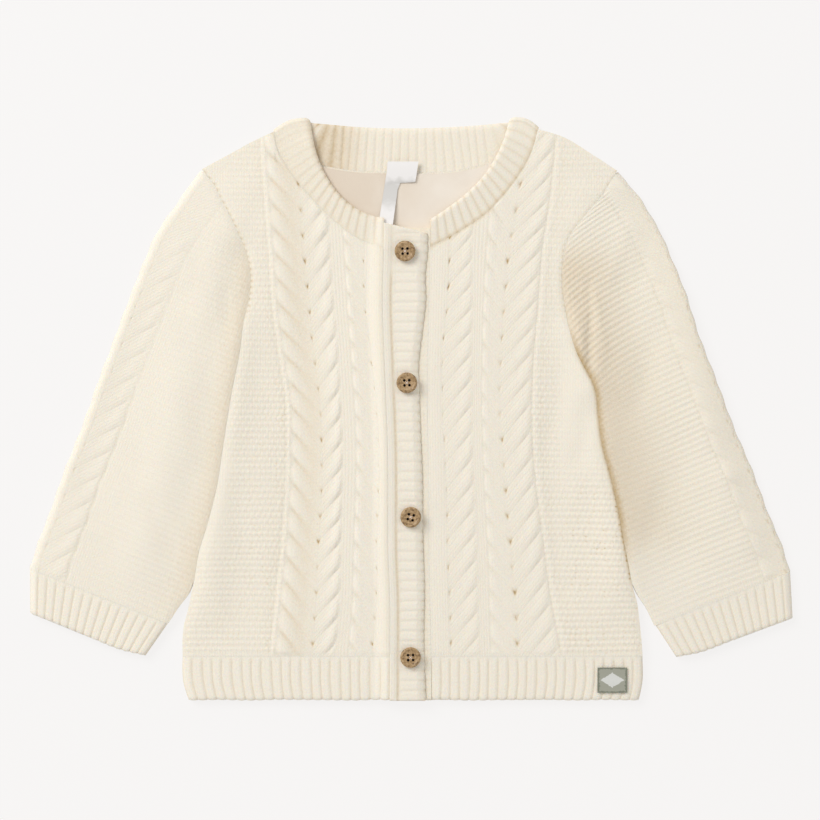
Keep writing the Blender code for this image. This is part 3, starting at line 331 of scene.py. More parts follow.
FOLD_HEIGHT = FRONT_UNDERSIDE - GAP / 2
FOLD_WALL = WALL + 0.4
CUFFS = {
    "left": table(
        "seam_x seam_height end_x end_height",
        (-207, 71.7, -206.8, 47.2), (-188, 64.1, -187.5, 39.5), (-173, 58.1, -173, 33.5),
        (-154, 50.5, -158, 27.5), (-132, 41.7, -144.2, 24.2),
    ),
    "right": table(
        "seam_x seam_height end_x end_height",
        (206.4, 70, 207.8, 44.5), (190.2, 63.56, 190, 38), (171, 55.88, 174, 32),
        (149.4, 47.24, 157, 25.8), (133.2, 40.76, 144.6, 23.4),
    ),
}
CUFF_RIBS = 15

# Soft troughs and ridges, each from one end to the other: a negative depth is a ridge.
CREASES = table(
    "from_x from_height to_x to_height width depth",
    # right underarm
    (98.9, 178, 96.4, 208.5, 2.6, 1.2), (96.4, 206, 98.5, 230, 2.4, 0.5),
    (103.5, 182, 101.5, 222, 3.0, -0.5), (92.5, 188, 90.5, 214, 2.2, -0.5),
    # left sleeve and underarm
    (-97, 196, -101, 226, 4.0, 0.5), (-108, 176, -124, 206, 6.0, 0.4),
    (-140, 120, -160, 170, 8.0, 0.4), (-118, 130, -132, 176, 7.0, -0.4),
    (-168, 96, -178, 132, 7.0, 0.35), (-129, 78, -141, 112, 6.0, 0.45),
    (-120, 226, -128, 250, 6.0, -0.4),
    # right sleeve
    (118, 150, 136, 204, 7.0, 0.45), (140, 96, 152, 148, 8.0, 0.4),
    (164, 92, 176, 126, 7.0, -0.4), (128, 84, 138, 118, 6.0, 0.5),
    (108, 226, 116, 258, 5.0, -0.45), (122, 222, 128, 252, 5.0, 0.4),
    # left front
    (-84, 60, -98, 118, 8.0, 0.4), (-104, 44, -110, 84, 7.0, -0.4),
    (-78, 150, -88, 204, 7.0, 0.35), (-96, 232, -82, 272, 6.0, 0.4),
    (-72, 40, -74, 76, 5.0, 0.35),
    # right front
    (86, 56, 98, 112, 8.0, 0.4), (106, 42, 112, 92, 7.0, -0.4), (74, 128, 84, 188, 6.0, 0.4),
    (78, 206, 74, 262, 6.0, 0.35), (92, 128, 96, 164, 5.0, 0.5),
)

# The garment's broad swells and hollows, told in the same way: a negative depth swells.
SWELLS = table(
    "from_x from_height to_x to_height width depth",
    # right side and sleeve
    (90, 206, 100, 162, 10, -1.8), (101, 158, 118, 56, 11, -2.0),
    (112, 240, 128, 162, 12, 1.5), (128, 158, 148, 74, 13, 1.3),
    (146, 244, 168, 130, 13, -2.4), (168, 128, 186, 82, 12, -1.6),
    (76, 190, 80, 60, 9, 0.9), (98, 280, 90, 254, 12, -0.9),
    # left side and sleeve
    (-92, 206, -99, 140, 10, -1.9), (-100, 136, -112, 44, 11, -1.9),
    (-62, 214, -62, 60, 16, 1.6), (-100, 262, -116, 200, 11, -1.3),
    (-116, 196, -148, 66, 14, -1.8), (-140, 214, -176, 110, 12, 0.9),
    (-98, 282, -84, 250, 14, -0.6),
)


# Curves -------------------------------------------------------------------------------


def smooth(keys, values, at):
    """A soft curve through a table's points, straight beyond its ends."""
    keys = np.asarray(keys, float)
    values = np.asarray(values, float)
    at = np.asarray(at, float)
    slopes = np.gradient(values, keys)
    i = np.clip(np.searchsorted(keys, at) - 1, 0, len(keys) - 2)
    span = keys[i + 1] - keys[i]
    t = (at - keys[i]) / span
    start = (2 * t**3 - 3 * t**2 + 1) * values[i] + (t**3 - 2 * t**2 + t) * span * slopes[i]
    end = (3 * t**2 - 2 * t**3) * values[i + 1] + (t**3 - t**2) * span * slopes[i + 1]
    below = values[0] + slopes[0] * (at - keys[0])
    above = values[-1] + slopes[-1] * (at - keys[-1])
    return np.where(at <= keys[0], below, np.where(at >= keys[-1], above, start + end))


def across(sizes, column, height):
    return smooth(sizes["height"], sizes[column], height)


def along(sizes, x_column, height_column, fraction):
    """Points at fractions of a table's run, read by its rows' distances."""
    xs = sizes[x_column]
    heights = sizes[height_column]
    run = np.concatenate(([0.0], np.cumsum(np.hypot(np.diff(xs), np.diff(heights)))))
    at = np.asarray(fraction, float) * run[-1]
    return smooth(run, xs, at), smooth(run, heights, at)


def ease(t):
    t = np.clip(t, 0.0, 1.0)
    return t * t * (3 - 2 * t)


def rounded(distance, radius, low, high):
    """Height of a round edge at a distance inwards from it."""
    t = np.clip(distance / radius, 0.0, 1.0)
    return low + (high - low) * np.sqrt(1 - (1 - t)**2)


def sunk(distance, reach, low, high):
    """Height of cloth that sinks softly towards a seam."""
    return low + (high - low) * ease(0.5 + 0.5 * distance / reach)


def mix(start, end, share):
    return start + (end - start) * share


def fade(at, start, end):
    """Rises softly from 0 at start to 1 at end."""
    return ease((at - start) / (end - start))


def bell(distance, reach):
    """1 at no distance, and next to nothing at twice the reach."""
    return np.exp(-(distance / reach)**2)


def shares(columns, rows):
    """Shares from 0 to 1 across a grid and up it."""
    return np.linspace(0.0, 1.0, columns)[None, :], np.linspace(0.0, 1.0, rows)[:, None]


def uneven(x, height, spacing):
    """A slow unevenness between about -1 and 1."""
    a = x / spacing
    b = height / spacing
    first = np.sin(1.9 * a + 1.7 * np.sin(1.1 * b + 0.6))
    second = np.sin(2.3 * b + 1.4 * np.sin(0.9 * a + 2.1))
    return (first + second + np.sin(1.3 * (a + b) + 0.8)) / 3


def solve_height(below, low, high):
    """The heights at which a rising line leaves a shape: below says where it is still in it."""
    for _ in range(40):
        middle = (low + high) / 2
        inside = below(middle)
        low = np.where(inside, middle, low)
        high = np.where(inside, high, middle)
    return (low + high) / 2


def furrows(sizes, x, height, sway):
    """Height of a table's troughs and ridges, each with soft ends and a little sway."""
    rise = 0.0 * x
    for i in range(len(sizes["width"])):
        ax, ay = sizes["from_x"][i], sizes["from_height"][i]
        bx, by = sizes["to_x"][i], sizes["to_height"][i]
        length = math.hypot(bx - ax, by - ay)
        run = ((x - ax) * (bx - ax) + (height - ay) * (by - ay)) / length**2
        off = ((x - ax) * (by - ay) - (height - ay) * (bx - ax)) / length
        off = off + sway * np.sin(height / 9.0 + i)
        share = ease((run + 0.2) / 0.4) * ease((1.2 - run) / 0.4)
        rise = rise - sizes["depth"][i] * share * bell(off, sizes["width"][i])
    return rise


def drape(x, height):
    """How far the cloth stands over its even lie."""
    slow = 0.12 * uneven(x, height, 22.0)
    return slow + furrows(CREASES, x, height, 1.2) + furrows(SWELLS, x, height, 0.0)


# Meshes -------------------------------------------------------------------------------


def new_mesh(name, bm, *looks):
    mesh = bpy.data.meshes.new(name)
    bm.to_mesh(mesh)
    bm.free()
    for look in looks:
        mesh.materials.append(look)
    return mesh


def add_object(name, data):
    made = bpy.data.objects.new(name, data)
    bpy.context.scene.collection.objects.link(made)
    return made


def smoothen(mesh, sharpest):
    """Shades a mesh smoothly, but for the edges that turn by more degrees than sharpest."""
    mesh.shade_smooth()
    mesh.set_sharp_from_angle(angle=math.radians(sharpest))


def to_object(name, bm, finish):
    """Makes an object of a mesh given in millimetres, with heights measured from the hem."""
    bmesh.ops.translate(bm, verts=bm.verts, vec=(0, -GARMENT_LENGTH / 2, 0))
    bmesh.ops.scale(bm, verts=bm.verts, vec=(MM, MM, MM))
    bmesh.ops.recalc_face_normals(bm, faces=bm.faces)
    mesh = new_mesh(name, bm, finish)
    smoothen(mesh, 62)
    return add_object(name, mesh)


def stitches(relief, wale, row):
    """A face's depth in the knit, which also carries its painted shade and painted highlights, and
    its stitches, under the names of the mesh's layers.
    """
    return dict(zip(KNIT_LAYERS, (relief, wale, row)))


def lay_grid(bm, points, knit):
    """A grid whose points take the places given, row by row, with their stitches."""
    rows, columns = points.shape[:2]
    layers = [bm.verts.layers.float.new(name) for name in KNIT_LAYERS]
    bmesh.ops.create_grid(bm, x_segments=columns - 1, y_segments=rows - 1, size=0.5)
    values = [np.broadcast_to(knit[name], (rows, columns)).ravel() for name in KNIT_LAYERS]
    for vert, place, relief, wale, row in zip(bm.verts, points.reshape(-1, 3), *values):
        vert.co = place
        vert[layers[0]] = relief
        vert[layers[1]] = wale
        vert[layers[2]] = row


def panel(name, points, other_side, knit, finish, climb=None):
    """A closed wall with one fine face, its edges and a plain face on its other side.

    climb gives how far the plain face rises near the seam that lies on the lower band.
    """
    bm = bmesh.new()
    lay_grid(bm, points, knit)
    rim = [edge for edge in bm.edges if edge.is_boundary]
    far = bmesh.ops.extrude_edge_only(bm, edges=rim)["geom"]
    verts = [item for item in far if isinstance(item, bmesh.types.BMVert)]
    for vert in verts:
        vert.co.z = other_side
    edges = [item for item in far
             if isinstance(item, bmesh.types.BMEdge) and item.is_boundary]
    face = bmesh.ops.contextual_create(bm, geom=edges)["faces"]
    if climb:
        start = min(vert.co.x for vert in verts if climb(vert.co.x, vert.co.y) > 1e-3)
        cut = face + list(face[0].edges) + list(face[0].verts)
        bmesh.ops.bisect_plane(bm, geom=cut, plane_co=(start, 0, 0), plane_no=(1, 0, 0))
        for vert in verts:
            vert.co.z += climb(vert.co.x, vert.co.y)
    return to_object(name, bm, finish)


def ring_cloth(name, points, knit, finish):
    """A closed skin whose rows are closed loops, with a cap on each end."""
    closed = np.concatenate((points, points[:, :1]), axis=1)
    knit = {key: np.concatenate((value, value[:, :1]), axis=1) for key, value in knit.items()}
    bm = bmesh.new()
    lay_grid(bm, closed, knit)
    seam = [vert for vert in bm.verts if vert.is_boundary]
    bmesh.ops.remove_doubles(bm, verts=seam, dist=1e-4)
    ends = [edge for edge in bm.edges if edge.is_boundary]
    bmesh.ops.holes_fill(bm, edges=ends, sides=0)
    return to_object(name, bm, finish)


def stack(x, height, z):
    return np.stack(np.broadcast_arrays(x, height, z), axis=-1)


# Knit ---------------------------------------------------------------------------------


def garter(x, height, calm, sizes, bumps=0.6):
    """Ridges of small bumps, each row half a stitch from the last. calm says how clear."""
    line = (height + 0.6 * uneven(x, height, 24.0)) / GARTER_PITCH
    ridge = 0.5 - 0.5 * np.cos(2 * np.pi * line)
    rows = np.floor(line)
    sway = 0.5 * uneven(x, height, 11.0)
    stitch = (x + sway) / STITCH_WIDTH + 0.5 * (rows % 2) + 0.3 * scatter(rows, 7.0)
    bump = 0.5 - 0.5 * np.cos(2 * np.pi * stitch)
    size = 0.75 + 0.5 * scatter(rows, np.floor(stitch))
    crest = ridge * (1 - bumps + bumps * bump * size)
    clear = calm * (0.85 + 0.2 * uneven(x + 31, height, 26.0))
    # The garter is painted darker between its ridges and in the gaps between its bumps: painted
    # shade.
    gap = (1 - ridge) * (1 - bump) * scatter(np.floor(stitch + 0.5), rows)
    return (0.3 + sizes.garter_relief * 1000 * (crest - 0.3) * clear,
            0.8 - 0.15 * clear * (1 - crest) - 1.7 * bumps * clear * gap**2)


def scatter(first, second):
    """An even spread of values from 0 to 1, one for each pair of whole numbers."""
    return (np.sin(first * 12.9898 + second * 78.233) * 43758.5453) % 1.0


def half_cable(run, level, width, pitch, sizes, depth=1.0, open_holes=1.0, shading=1.0):
    """Strands like slanted teardrops, from a half cable's outer edge to its holes."""
    run = np.clip(run, 0.0, 1.0)
    climb = CABLE_CLIMB * width * (1 - run)**STRAND_BEND
    turn = (level - climb) / pitch
    phase = turn % 1.0
    wave = 0.5 - 0.5 * np.cos(2 * np.pi * phase**0.72)
    leaf = wave**np.interp(run, (0, 0.12, 0.3, 0.6, 1), (2.2, 0.9, 0.6, 1.1, 2.2))
    body = np.interp(run, (0, 0.05, 0.14, 0.28, 0.48, 0.75, 1), (0, 0.35, 0.95, 1, 0.6, 0.2, 0.05))
    body = body * (0.8 + 0.4 * scatter(np.floor(turn), np.floor(width)))
    shade = np.interp(run, (0, 0.08, 0.18, 0.36, 0.6, 1), (0, 0.35, 1, 0.6, 0.1, 0))
    strand = 0.5 + 0.5 * np.cos(2 * np.pi * STITCHES_PER_STRAND * phase)
    off = (phase + 0.5) % 1.0 - 0.5
    size = 0.5 + 0.8 * scatter(np.floor(turn + 0.5), np.floor(width) + 3.0)
    aside = 0.5 * (scatter(np.floor(turn + 0.5), 5.0) - 0.5)
    wide, tall = 0.8 * open_holes, 1.2 * open_holes
    hole = np.exp(-(((1 - run) * width + aside) / wide)**2 - (off * pitch / tall)**2) * size
    trench = shade * bell(off * pitch, 1.5)
    shape = depth * (leaf * body - 0.55 * trench)
    rise = CABLE_BED + sizes.cable_relief * 1000 * shape - 0.03 * strand - 0.5 * hole
    # The strands are painted lighter, as a painted highlight, and their trenches darker, as
    # painted shade.
    relief = 0.75 + depth * shading * (0.12 * leaf * body - 0.14 * trench)
    # The holes are painted dark: painted shade.
    relief = relief - 1.6 * hole
    return rise, relief, STITCHES_PER_STRAND * turn, run * width / ROW_HEIGHT


def lay_over(within, new, old):
    """The new knit where within holds, and the old one elsewhere."""
    return [np.where(within, made, was) for made, was in zip(new, old)]


def ribs(share, count, breadth=2.2):
    """Crests and narrow valleys of a run of ribs."""
    t = (share * count) % 1.0
    return 1 - np.abs(2 * t - 1)**breadth


# Body ---------------------------------------------------------------------------------


def climb_to(seam, x):
    """The climb before a seam that lies on the lower band."""
    return BAND_LIFT * ease((x - seam + LIFT_RUN) / (LIFT_RUN - 1.0))


def left_lift(x, height):
    return climb_to(across(LEFT_GUIDES, "band_seam", height), x)


def body_edge(side, height):
    """x of the body's edge, which stays where it is above its last point."""
    edge = EDGES[side]
    return across(edge, "x", np.minimum(height, edge["height"][-1]))


def fill_up(place, top_at, v, base, top_range):
    """A face's upper edge, and the heights and x of its points above a level base."""
    top = solve_height(lambda height: top_at(place(height)) > height, *top_range)
    height = mix(base, top, v)
    return top, height, place(height)


def seam_dip(distance, depth=0.6, reach=1.6):
    """How far cloth sinks towards a seam."""
    return depth * bell(distance, reach)


def front_top(side, x):
    """Height of a front's upper edge: the sewn neckline, then the shoulder."""
    sign = SIGN[side]
    neck_x, neck_height = along(NECKS[side], "seam_x", "seam_height", np.linspace(0, 1, 200))
    line = np.interp(sign * x, sign * neck_x, neck_height - SEAM)
    shoulder = smooth(SHOULDERS["x"], SHOULDERS["height"], x)
    return np.where(sign * x < sign * neck_x[-1], line, shoulder)


def front_knit(side, x, height, sizes):
    """Rise of a front's knit over its plain top, its depth in the knit, and its stitches."""
    sign = SIGN[side]
    guides = GUIDES[side]
    out = sign * x
    at = {name: sign * across(guides, name, height) for name in guides if name != "height"}
    row = height / ROW_HEIGHT
    worn = 0.75 * fade(x, -94, -103) * fade(height, 66, 106)
    plain = fade(x, 78, 84) * fade(height, 212, 182)
    worn = worn + plain * (0.15 + 0.65 * fade(height, 95, 140))
    from_panel = out - at["garter_edge"]
    strong = 0.35 * bell(from_panel - 4, 4)
    bold = 0.7 * fade(x, 78, 90) * fade(height, 150, 100)
    clear = (1 - worn + strong + bold) * mix(1.0, 0.6, fade(height, 130, 210))
    rise, relief = garter(x, height, clear, sizes)
    knit = (rise, relief - 0.25 * strong, x / STITCH_WIDTH, row)
    for outer, holes, shading in zip(("garter_edge", "twin_inner", "single_outer"),
                                  ("twin_holes", "twin_holes", "single_holes"),
                                  CABLE_SHADING[side]):
        width = np.abs(at[outer] - at[holes])
        run = (out - at[outer]) / (at[holes] - at[outer])
        cable = half_cable(run, height - FIRST_CROSSING, width, CABLE_PITCH, sizes,
                           CABLE_DEPTH[side], CABLE_HOLES[side], shading)
        knit = lay_over((run >= 0) & (run <= 1), cable, knit)
    # the plain column
    t = (out - at["single_outer"]) / (at["twin_inner"] - at["single_outer"])
    wales = 2.0
    groove = np.abs(np.sin(2 * np.pi * wales * t))**0.7
    column = (CABLE_BED - 0.05 + 0.1 * groove, 0.68 + 0.12 * groove, wales * t, row)
    knit = lay_over((t > 0) & (t < 1), column, knit)
    # the smooth strip beside the band, with a painted highlight along its arch and, on the left,
    # painted shade towards the band
    t = (at["single_holes"] - out) / (at["single_holes"] - at["band_seam"])
    arch = np.sin(np.pi * np.clip(t, 0, 1))
    strip = (mix(CABLE_BED, STRIP_END[side], ease(t)) + 0.15 * arch,
             0.75 + 0.1 * arch - STRIP_SHADE[side] * ease(t),
             (out - at["band_seam"]) / STITCH_WIDTH, row)
    rise, relief, wale, row = lay_over(out < at["single_holes"], strip, knit)
    # the groove and the ridge along the side panel, with painted shade in the groove and a painted
    # highlight on the ridge
    groove = bell(from_panel - GROOVE_AT[side], 0.8)
    border = bell(from_panel - RIDGE_AT[side], 1.5)
    rise = rise + RIDGE_RISE[side] * border - 0.2 * groove
    relief = mix(relief, 0.85, border) - 0.1 * groove
    # painted shade on the cable, centred 10 mm in from the side panel
    relief = relief - CABLE_SHADE[side] * bell(from_panel + 10, 9)
    return rise, relief, wale, row


def worn_seam(side, height):
    """Share of an armhole seam's depth: the right seam flattens out towards the shoulder."""
    return 1 - 0.8 * fade(height, 215, 245) * (side == "right")


def build_front(side, sizes, finish):
    sign = SIGN[side]
    u, v = shares(*sizes.grid(FRONT_FACE))

    def place(height):
        return mix(across(GUIDES[side], "band_seam", height), body_edge(side, height), u)

    top, height, x = fill_up(place, lambda x: front_top(side, x), v, HEM_HEIGHT, BODY_TOP_RANGE)
    inwards = (body_edge(side, height) - x) * sign
    side_share = ease((UNDERARM[side] - height) / UNDERARM_BLEND)
    armhole_drop = ARMHOLE_DROP * worn_seam(side, height)
    drop = mix(armhole_drop, SIDE_DROP, side_share)
    reach = mix(ARMHOLE_REACH, SIDE_REACH, side_share)
    z = sunk(inwards, reach, FRONT_TOP - 2 * drop, FRONT_TOP) + drape(x, height)
    if side == "left":
        z = z + left_lift(x, height)
    rise, relief, wale, row = front_knit(side, x, height, sizes)
    calm = ease((height - HEM_HEIGHT) / 3.0) * ease((top - height) / 3.0) * ease(inwards / 3.0)
    z = z + mix(SEWN_LEVEL, rise, calm)
    z = z - (seam_dip(top - height, 0.05) + seam_dip(height - HEM_HEIGHT, 0.05))
    neck_end = sign * NECKS[side]["seam_x"][-1]
    # painted shadow along the neckline seam
    neck_seam_shade = bell(top - height, 2.2) * ease((neck_end - sign * x) / 6)
    # painted shade in the armhole seam, in dashes along the garter rows
    sewn = bell(inwards, 1.6) * fade(height, 196, 216)
    sewn = sewn * (0.3 + 0.7 * np.cos(np.pi * height / GARTER_PITCH)**2)
    # painted shadow along the right front's side edge
    fold = bell(inwards, 1.5) * fade(height, 200, 180) * fade(height, 52, 72)
    relief = relief - NECK_SHADE[side] * neck_seam_shade - SEWN_SHADE[side] * sewn
    relief = relief - EDGE_SHADE[side] * fold
    made = panel("front_" + side, stack(x, height, z), FRONT_UNDERSIDE,
                 stitches(relief, wale, row), finish, left_lift if side == "left" else None)
    return made, abs(np.trapz(top[0] - HEM_HEIGHT, x[0]))


def build_back(finish):
    """The back, whose fine face is its underside."""
    u, v = shares(*BACK_GRID)
    neck_x, neck_height = along(NECK_BACK, "seam_x", "seam_height", np.linspace(0, 1, 200))

    def place(height):
        return mix(body_edge("left", height), body_edge("right", height), u)

    def top_at(x):
        shoulder = smooth(SHOULDERS["x"], SHOULDERS["height"], x)
        neck = np.interp(x, neck_x, neck_height - SEAM)
        return np.where((x > neck_x[0]) & (x < neck_x[-1]), neck, shoulder)

    top, height, x = fill_up(place, top_at, v, HEM_HEIGHT, BODY_TOP_RANGE)
    crest = 0.5 - 0.5 * np.cos(2 * np.pi * height / (2 * GARTER_PITCH))
    z = 0.25 * (1 - crest)
    knit = stitches(0.4 + 0.5 * crest, x / STITCH_WIDTH, height / ROW_HEIGHT)
    made = panel("back", stack(x, height, z), BACK_TOP, knit, finish)
    return made, abs(np.trapz(top[0] - HEM_HEIGHT, x[0]))


def build_hem_front(side, sizes, finish):
    """A rib strip: every rib runs from the hem seam down over the lower edge."""
    guides = GUIDES[side]
    count = round(abs(body_edge(side, 12) - across(guides, "band_seam", 12)) / RIB_PITCH)
    top = HEM_HEIGHT - SEAM
    across_rib, rows = HEM_RIB_GRID
    u, v = shares(count * across_rib + 1, rows)
    v = v**1.15
    wave = ribs(u, count)
    scallop = 0.45 * (1 - wave) + 0.3 * uneven(u * 110, 0 * u, 9.0)
    height = mix(scallop, top, v)
    x = mix(across(guides, "band_seam", height), body_edge(side, height), u)
    x = x + 0.35 * np.sin(np.pi * v) * np.sin(u * 37.0)
    to_side = np.abs(body_edge(side, height) - x)
    base = rounded(to_side, RIB_EDGE_REACH, FRONT_TOP - RIB_EDGE_DROP, FRONT_TOP)
    low = rounded(height - scallop, 2.6, -LOW_EDGE_DROP, 0.0)
    calm = ease((top - height) / 4.0)
    rib = sizes.rib_relief * 900 * (wave - 0.15)
    z = base + mix(SEWN_LEVEL, rib, calm) + low - seam_dip(top - height, 0.05, 1.8)
    z = np.maximum(z, FRONT_UNDERSIDE + 0.6) + mix(0.4, 1.0, v) * drape(x, height)
    if side == "left":
        z = z + left_lift(x, height)
    knit = stitches(mix(0.8, wave, 0.3 + 0.7 * calm), u * count, height / ROW_HEIGHT)
    made = panel("hem_" + side, stack(x, height, z), FRONT_UNDERSIDE, knit, finish,
                 left_lift if side == "left" else None)
    return made, top * abs(x[0, -1] - x[0, 0]) * 0.99


def build_hem_back(finish):
    top = HEM_HEIGHT - SEAM
    across_rib, rows = HEM_BACK_RIB_GRID
    u, v = shares(BACK_HEM_RIBS * across_rib + 1, rows)
    wave = ribs(u, BACK_HEM_RIBS)
    height = mix(0.6 * (1 - wave), top, v)
    x = mix(body_edge("left", height), body_edge("right", height), u)
    z = 0.5 * (1 - wave) + 0.4 * bell(height, 1.5)
    knit = stitches(wave, u * BACK_HEM_RIBS, height / ROW_HEIGHT)
    made = panel("hem_back", stack(x, height, z), BACK_TOP, knit, finish)
    return made, top * HEM_BACK_WIDTH


def build_band_buttonhole(sizes, finish):
    """The upper band: a smooth rolled column beside the seam, then cross ribs."""
    low = FRONT_UNDERSIDE + BAND_LIFT
    high = low + WALL
    u, v = shares(*BAND_GRID)
    top = mix(BAND_TOP_LEFT, BAND_TOP_RIGHT, u)
    height = mix(0.0 * u, top, v)
    left = across(LEFT_GUIDES, "band_seam", height) + SEAM
    count = round(BAND_TOP_RIGHT / BAND_RIB_PITCH)
    wave = ribs(height / BAND_TOP_RIGHT + 0.001 * uneven(u * 20, height, 9.0), count)
    right = across(BAND_EDGE, "x", height) + 0.35 * (wave - 0.5)
    x = mix(left, right, u)
    from_left = x - left
    from_right = right - x
    ribbed = ease((from_left - BAND_ROLL) / 2.2)
    pull = np.zeros_like(x)
    for button_x, button_height in zip(BUTTONS["x"], BUTTONS["height"]):
        apart = np.hypot(x - button_x, height - button_height)
        pull = np.maximum(pull, np.exp(-(apart / 8.0)**4))
    roll = bell(from_left - 0.8, 2.8)
    dip = bell(from_left - BAND_ROLL, 1.1)
    z = high + 0.5 * roll - 0.2 * dip * (1 - 0.6 * pull)
    z = z + sizes.rib_relief * 850 * ribbed * (wave - 0.3) * (1 - 0.75 * pull)
    z = z - 0.25 * pull
    z = np.minimum(z, high - 2.2 + 2.3 * np.sqrt(np.clip(from_right / 4.2, 0, 2) + 0.01))
    for apart, reach in ((height, 2.0), (top - height, 1.6)):
        z = np.minimum(z, rounded(apart, reach, high - BAND_EDGE_DROP - 0.3, high + 1.0))
    z = z + drape(x, height) + 0.2 * uneven(x, height, 16.0) * ease(from_left / 4.0)
    # Painted shade in the groove beside the roll, along a line just inside it, and along the free
    # edge.
    relief = mix(0.9, 0.65 + 0.2 * wave, ribbed * (1 - 0.5 * pull)) - 0.4 * dip
    relief = relief - (0.75 - 0.45 * wave) * bell(from_right, 2.4)
    line = bell(from_left - 4.3, 1.0) * fade(height, 236, 228)
    relief = relief - 0.9 * line * (1 - pull)
    wale = mix(from_left / STITCH_WIDTH, height / BAND_RIB_PITCH, ribbed)
    row = mix(height / ROW_HEIGHT, x / ROW_HEIGHT, ribbed)
    made = panel("band_buttonhole", stack(x, height, z), low,
                 stitches(relief, wale, row), finish)
    return made, math.prod(BAND_SIZE)


def build_band_button(finish):
    """The lower band, which shows only as a strip beside the upper one."""
    top = BAND_TOP_RIGHT + BAND_UNDER_EXTRA
    u, v = shares(*BAND_UNDER_GRID)
    height = mix(0.0, top, v) + 0.0 * u
    left = across(LEFT_GUIDES, "band_seam", height) + BAND_UNDER_START
    right = across(RIGHT_GUIDES, "band_seam", height) - SEAM
    x = mix(left, right, u)
    wave = ribs(height / top, BAND_UNDER_RIBS)
    z = FRONT_TOP - 0.15 * (1 - wave)
    beyond = x - across(BAND_EDGE, "x", height)
    z = z + 0.2 + 0.3 * fade(beyond, 0.2, 1)
    z = np.minimum(z, rounded(height, 2.0, FRONT_TOP - 1.0, FRONT_TOP + 0.45))
    # painted shade on the lower band, under the upper band and just beside its edge
    knit = stitches(0.15 + 0.15 * wave + 0.4 * fade(beyond, 1, 4),
                    height / BAND_RIB_PITCH, x / ROW_HEIGHT)
    made = panel("band_button", stack(x, height, z), FRONT_UNDERSIDE, knit, finish)
    return made, math.prod(BAND_UNDER_SIZE)


# Sleeves and cuffs --------------------------------------------------------------------


def sleeve_inner(side, height):
    """x of a sleeve's inner edge: along the body, then free towards the cuff."""
    sign = SIGN[side]
    gap = mix(SLEEVE_GAP, SEAM, ease((height - UNDERARM[side]) / 6.0))
    x = across(EDGES[side], "x", height) + sign * gap
    free = SLEEVES[side]["inner"]
    freed = sign * np.maximum(sign * x, sign * across(free, "x", height))
    return np.where(height < free["height"][-1], freed, x)


def folded_wall(name, top, span, under, knit, finish):
    """A wall folded along one edge: its upper layer is the fine face given.

    top runs from the open side to the fold. span is each row's whole width, and
    under(distance) gives plain points at a distance from the fold.
    """
    def strip(distances, z):
        return [stack(*under(d), z) for d in distances]

    lower = [strip([FOLD_RADIUS * (1 - math.cos(turn))],
                   FOLD_HEIGHT * (1 - math.sin(turn)))[0]
             for turn in (0.3, 0.6, 0.95, 1.3, math.pi / 2)]
    lower += strip([mix(FOLD_RADIUS, span, share) for share in (0.3, 0.65, 1.0)], 0.0)
    lower += strip([mix(FOLD_WALL, span, share) for share in (1.0, 0.5, 0.0)], BACK_TOP)
    lower += strip([mix(FOLD_WALL, span, share) for share in (0.0, 0.5, 1.0)],
                   FRONT_UNDERSIDE)
    points = np.concatenate([top] + lower, axis=1)
    extra = points.shape[1] - top.shape[1]
    full = {}
    for key, value in knit.items():
        value = np.broadcast_to(value, top.shape[:2])
        full[key] = np.concatenate([value] + [value[:, -1:]] * extra, axis=1)
    full["relief"][:, top.shape[1]:] = 0.6
    return ring_cloth(name, points, full, finish)


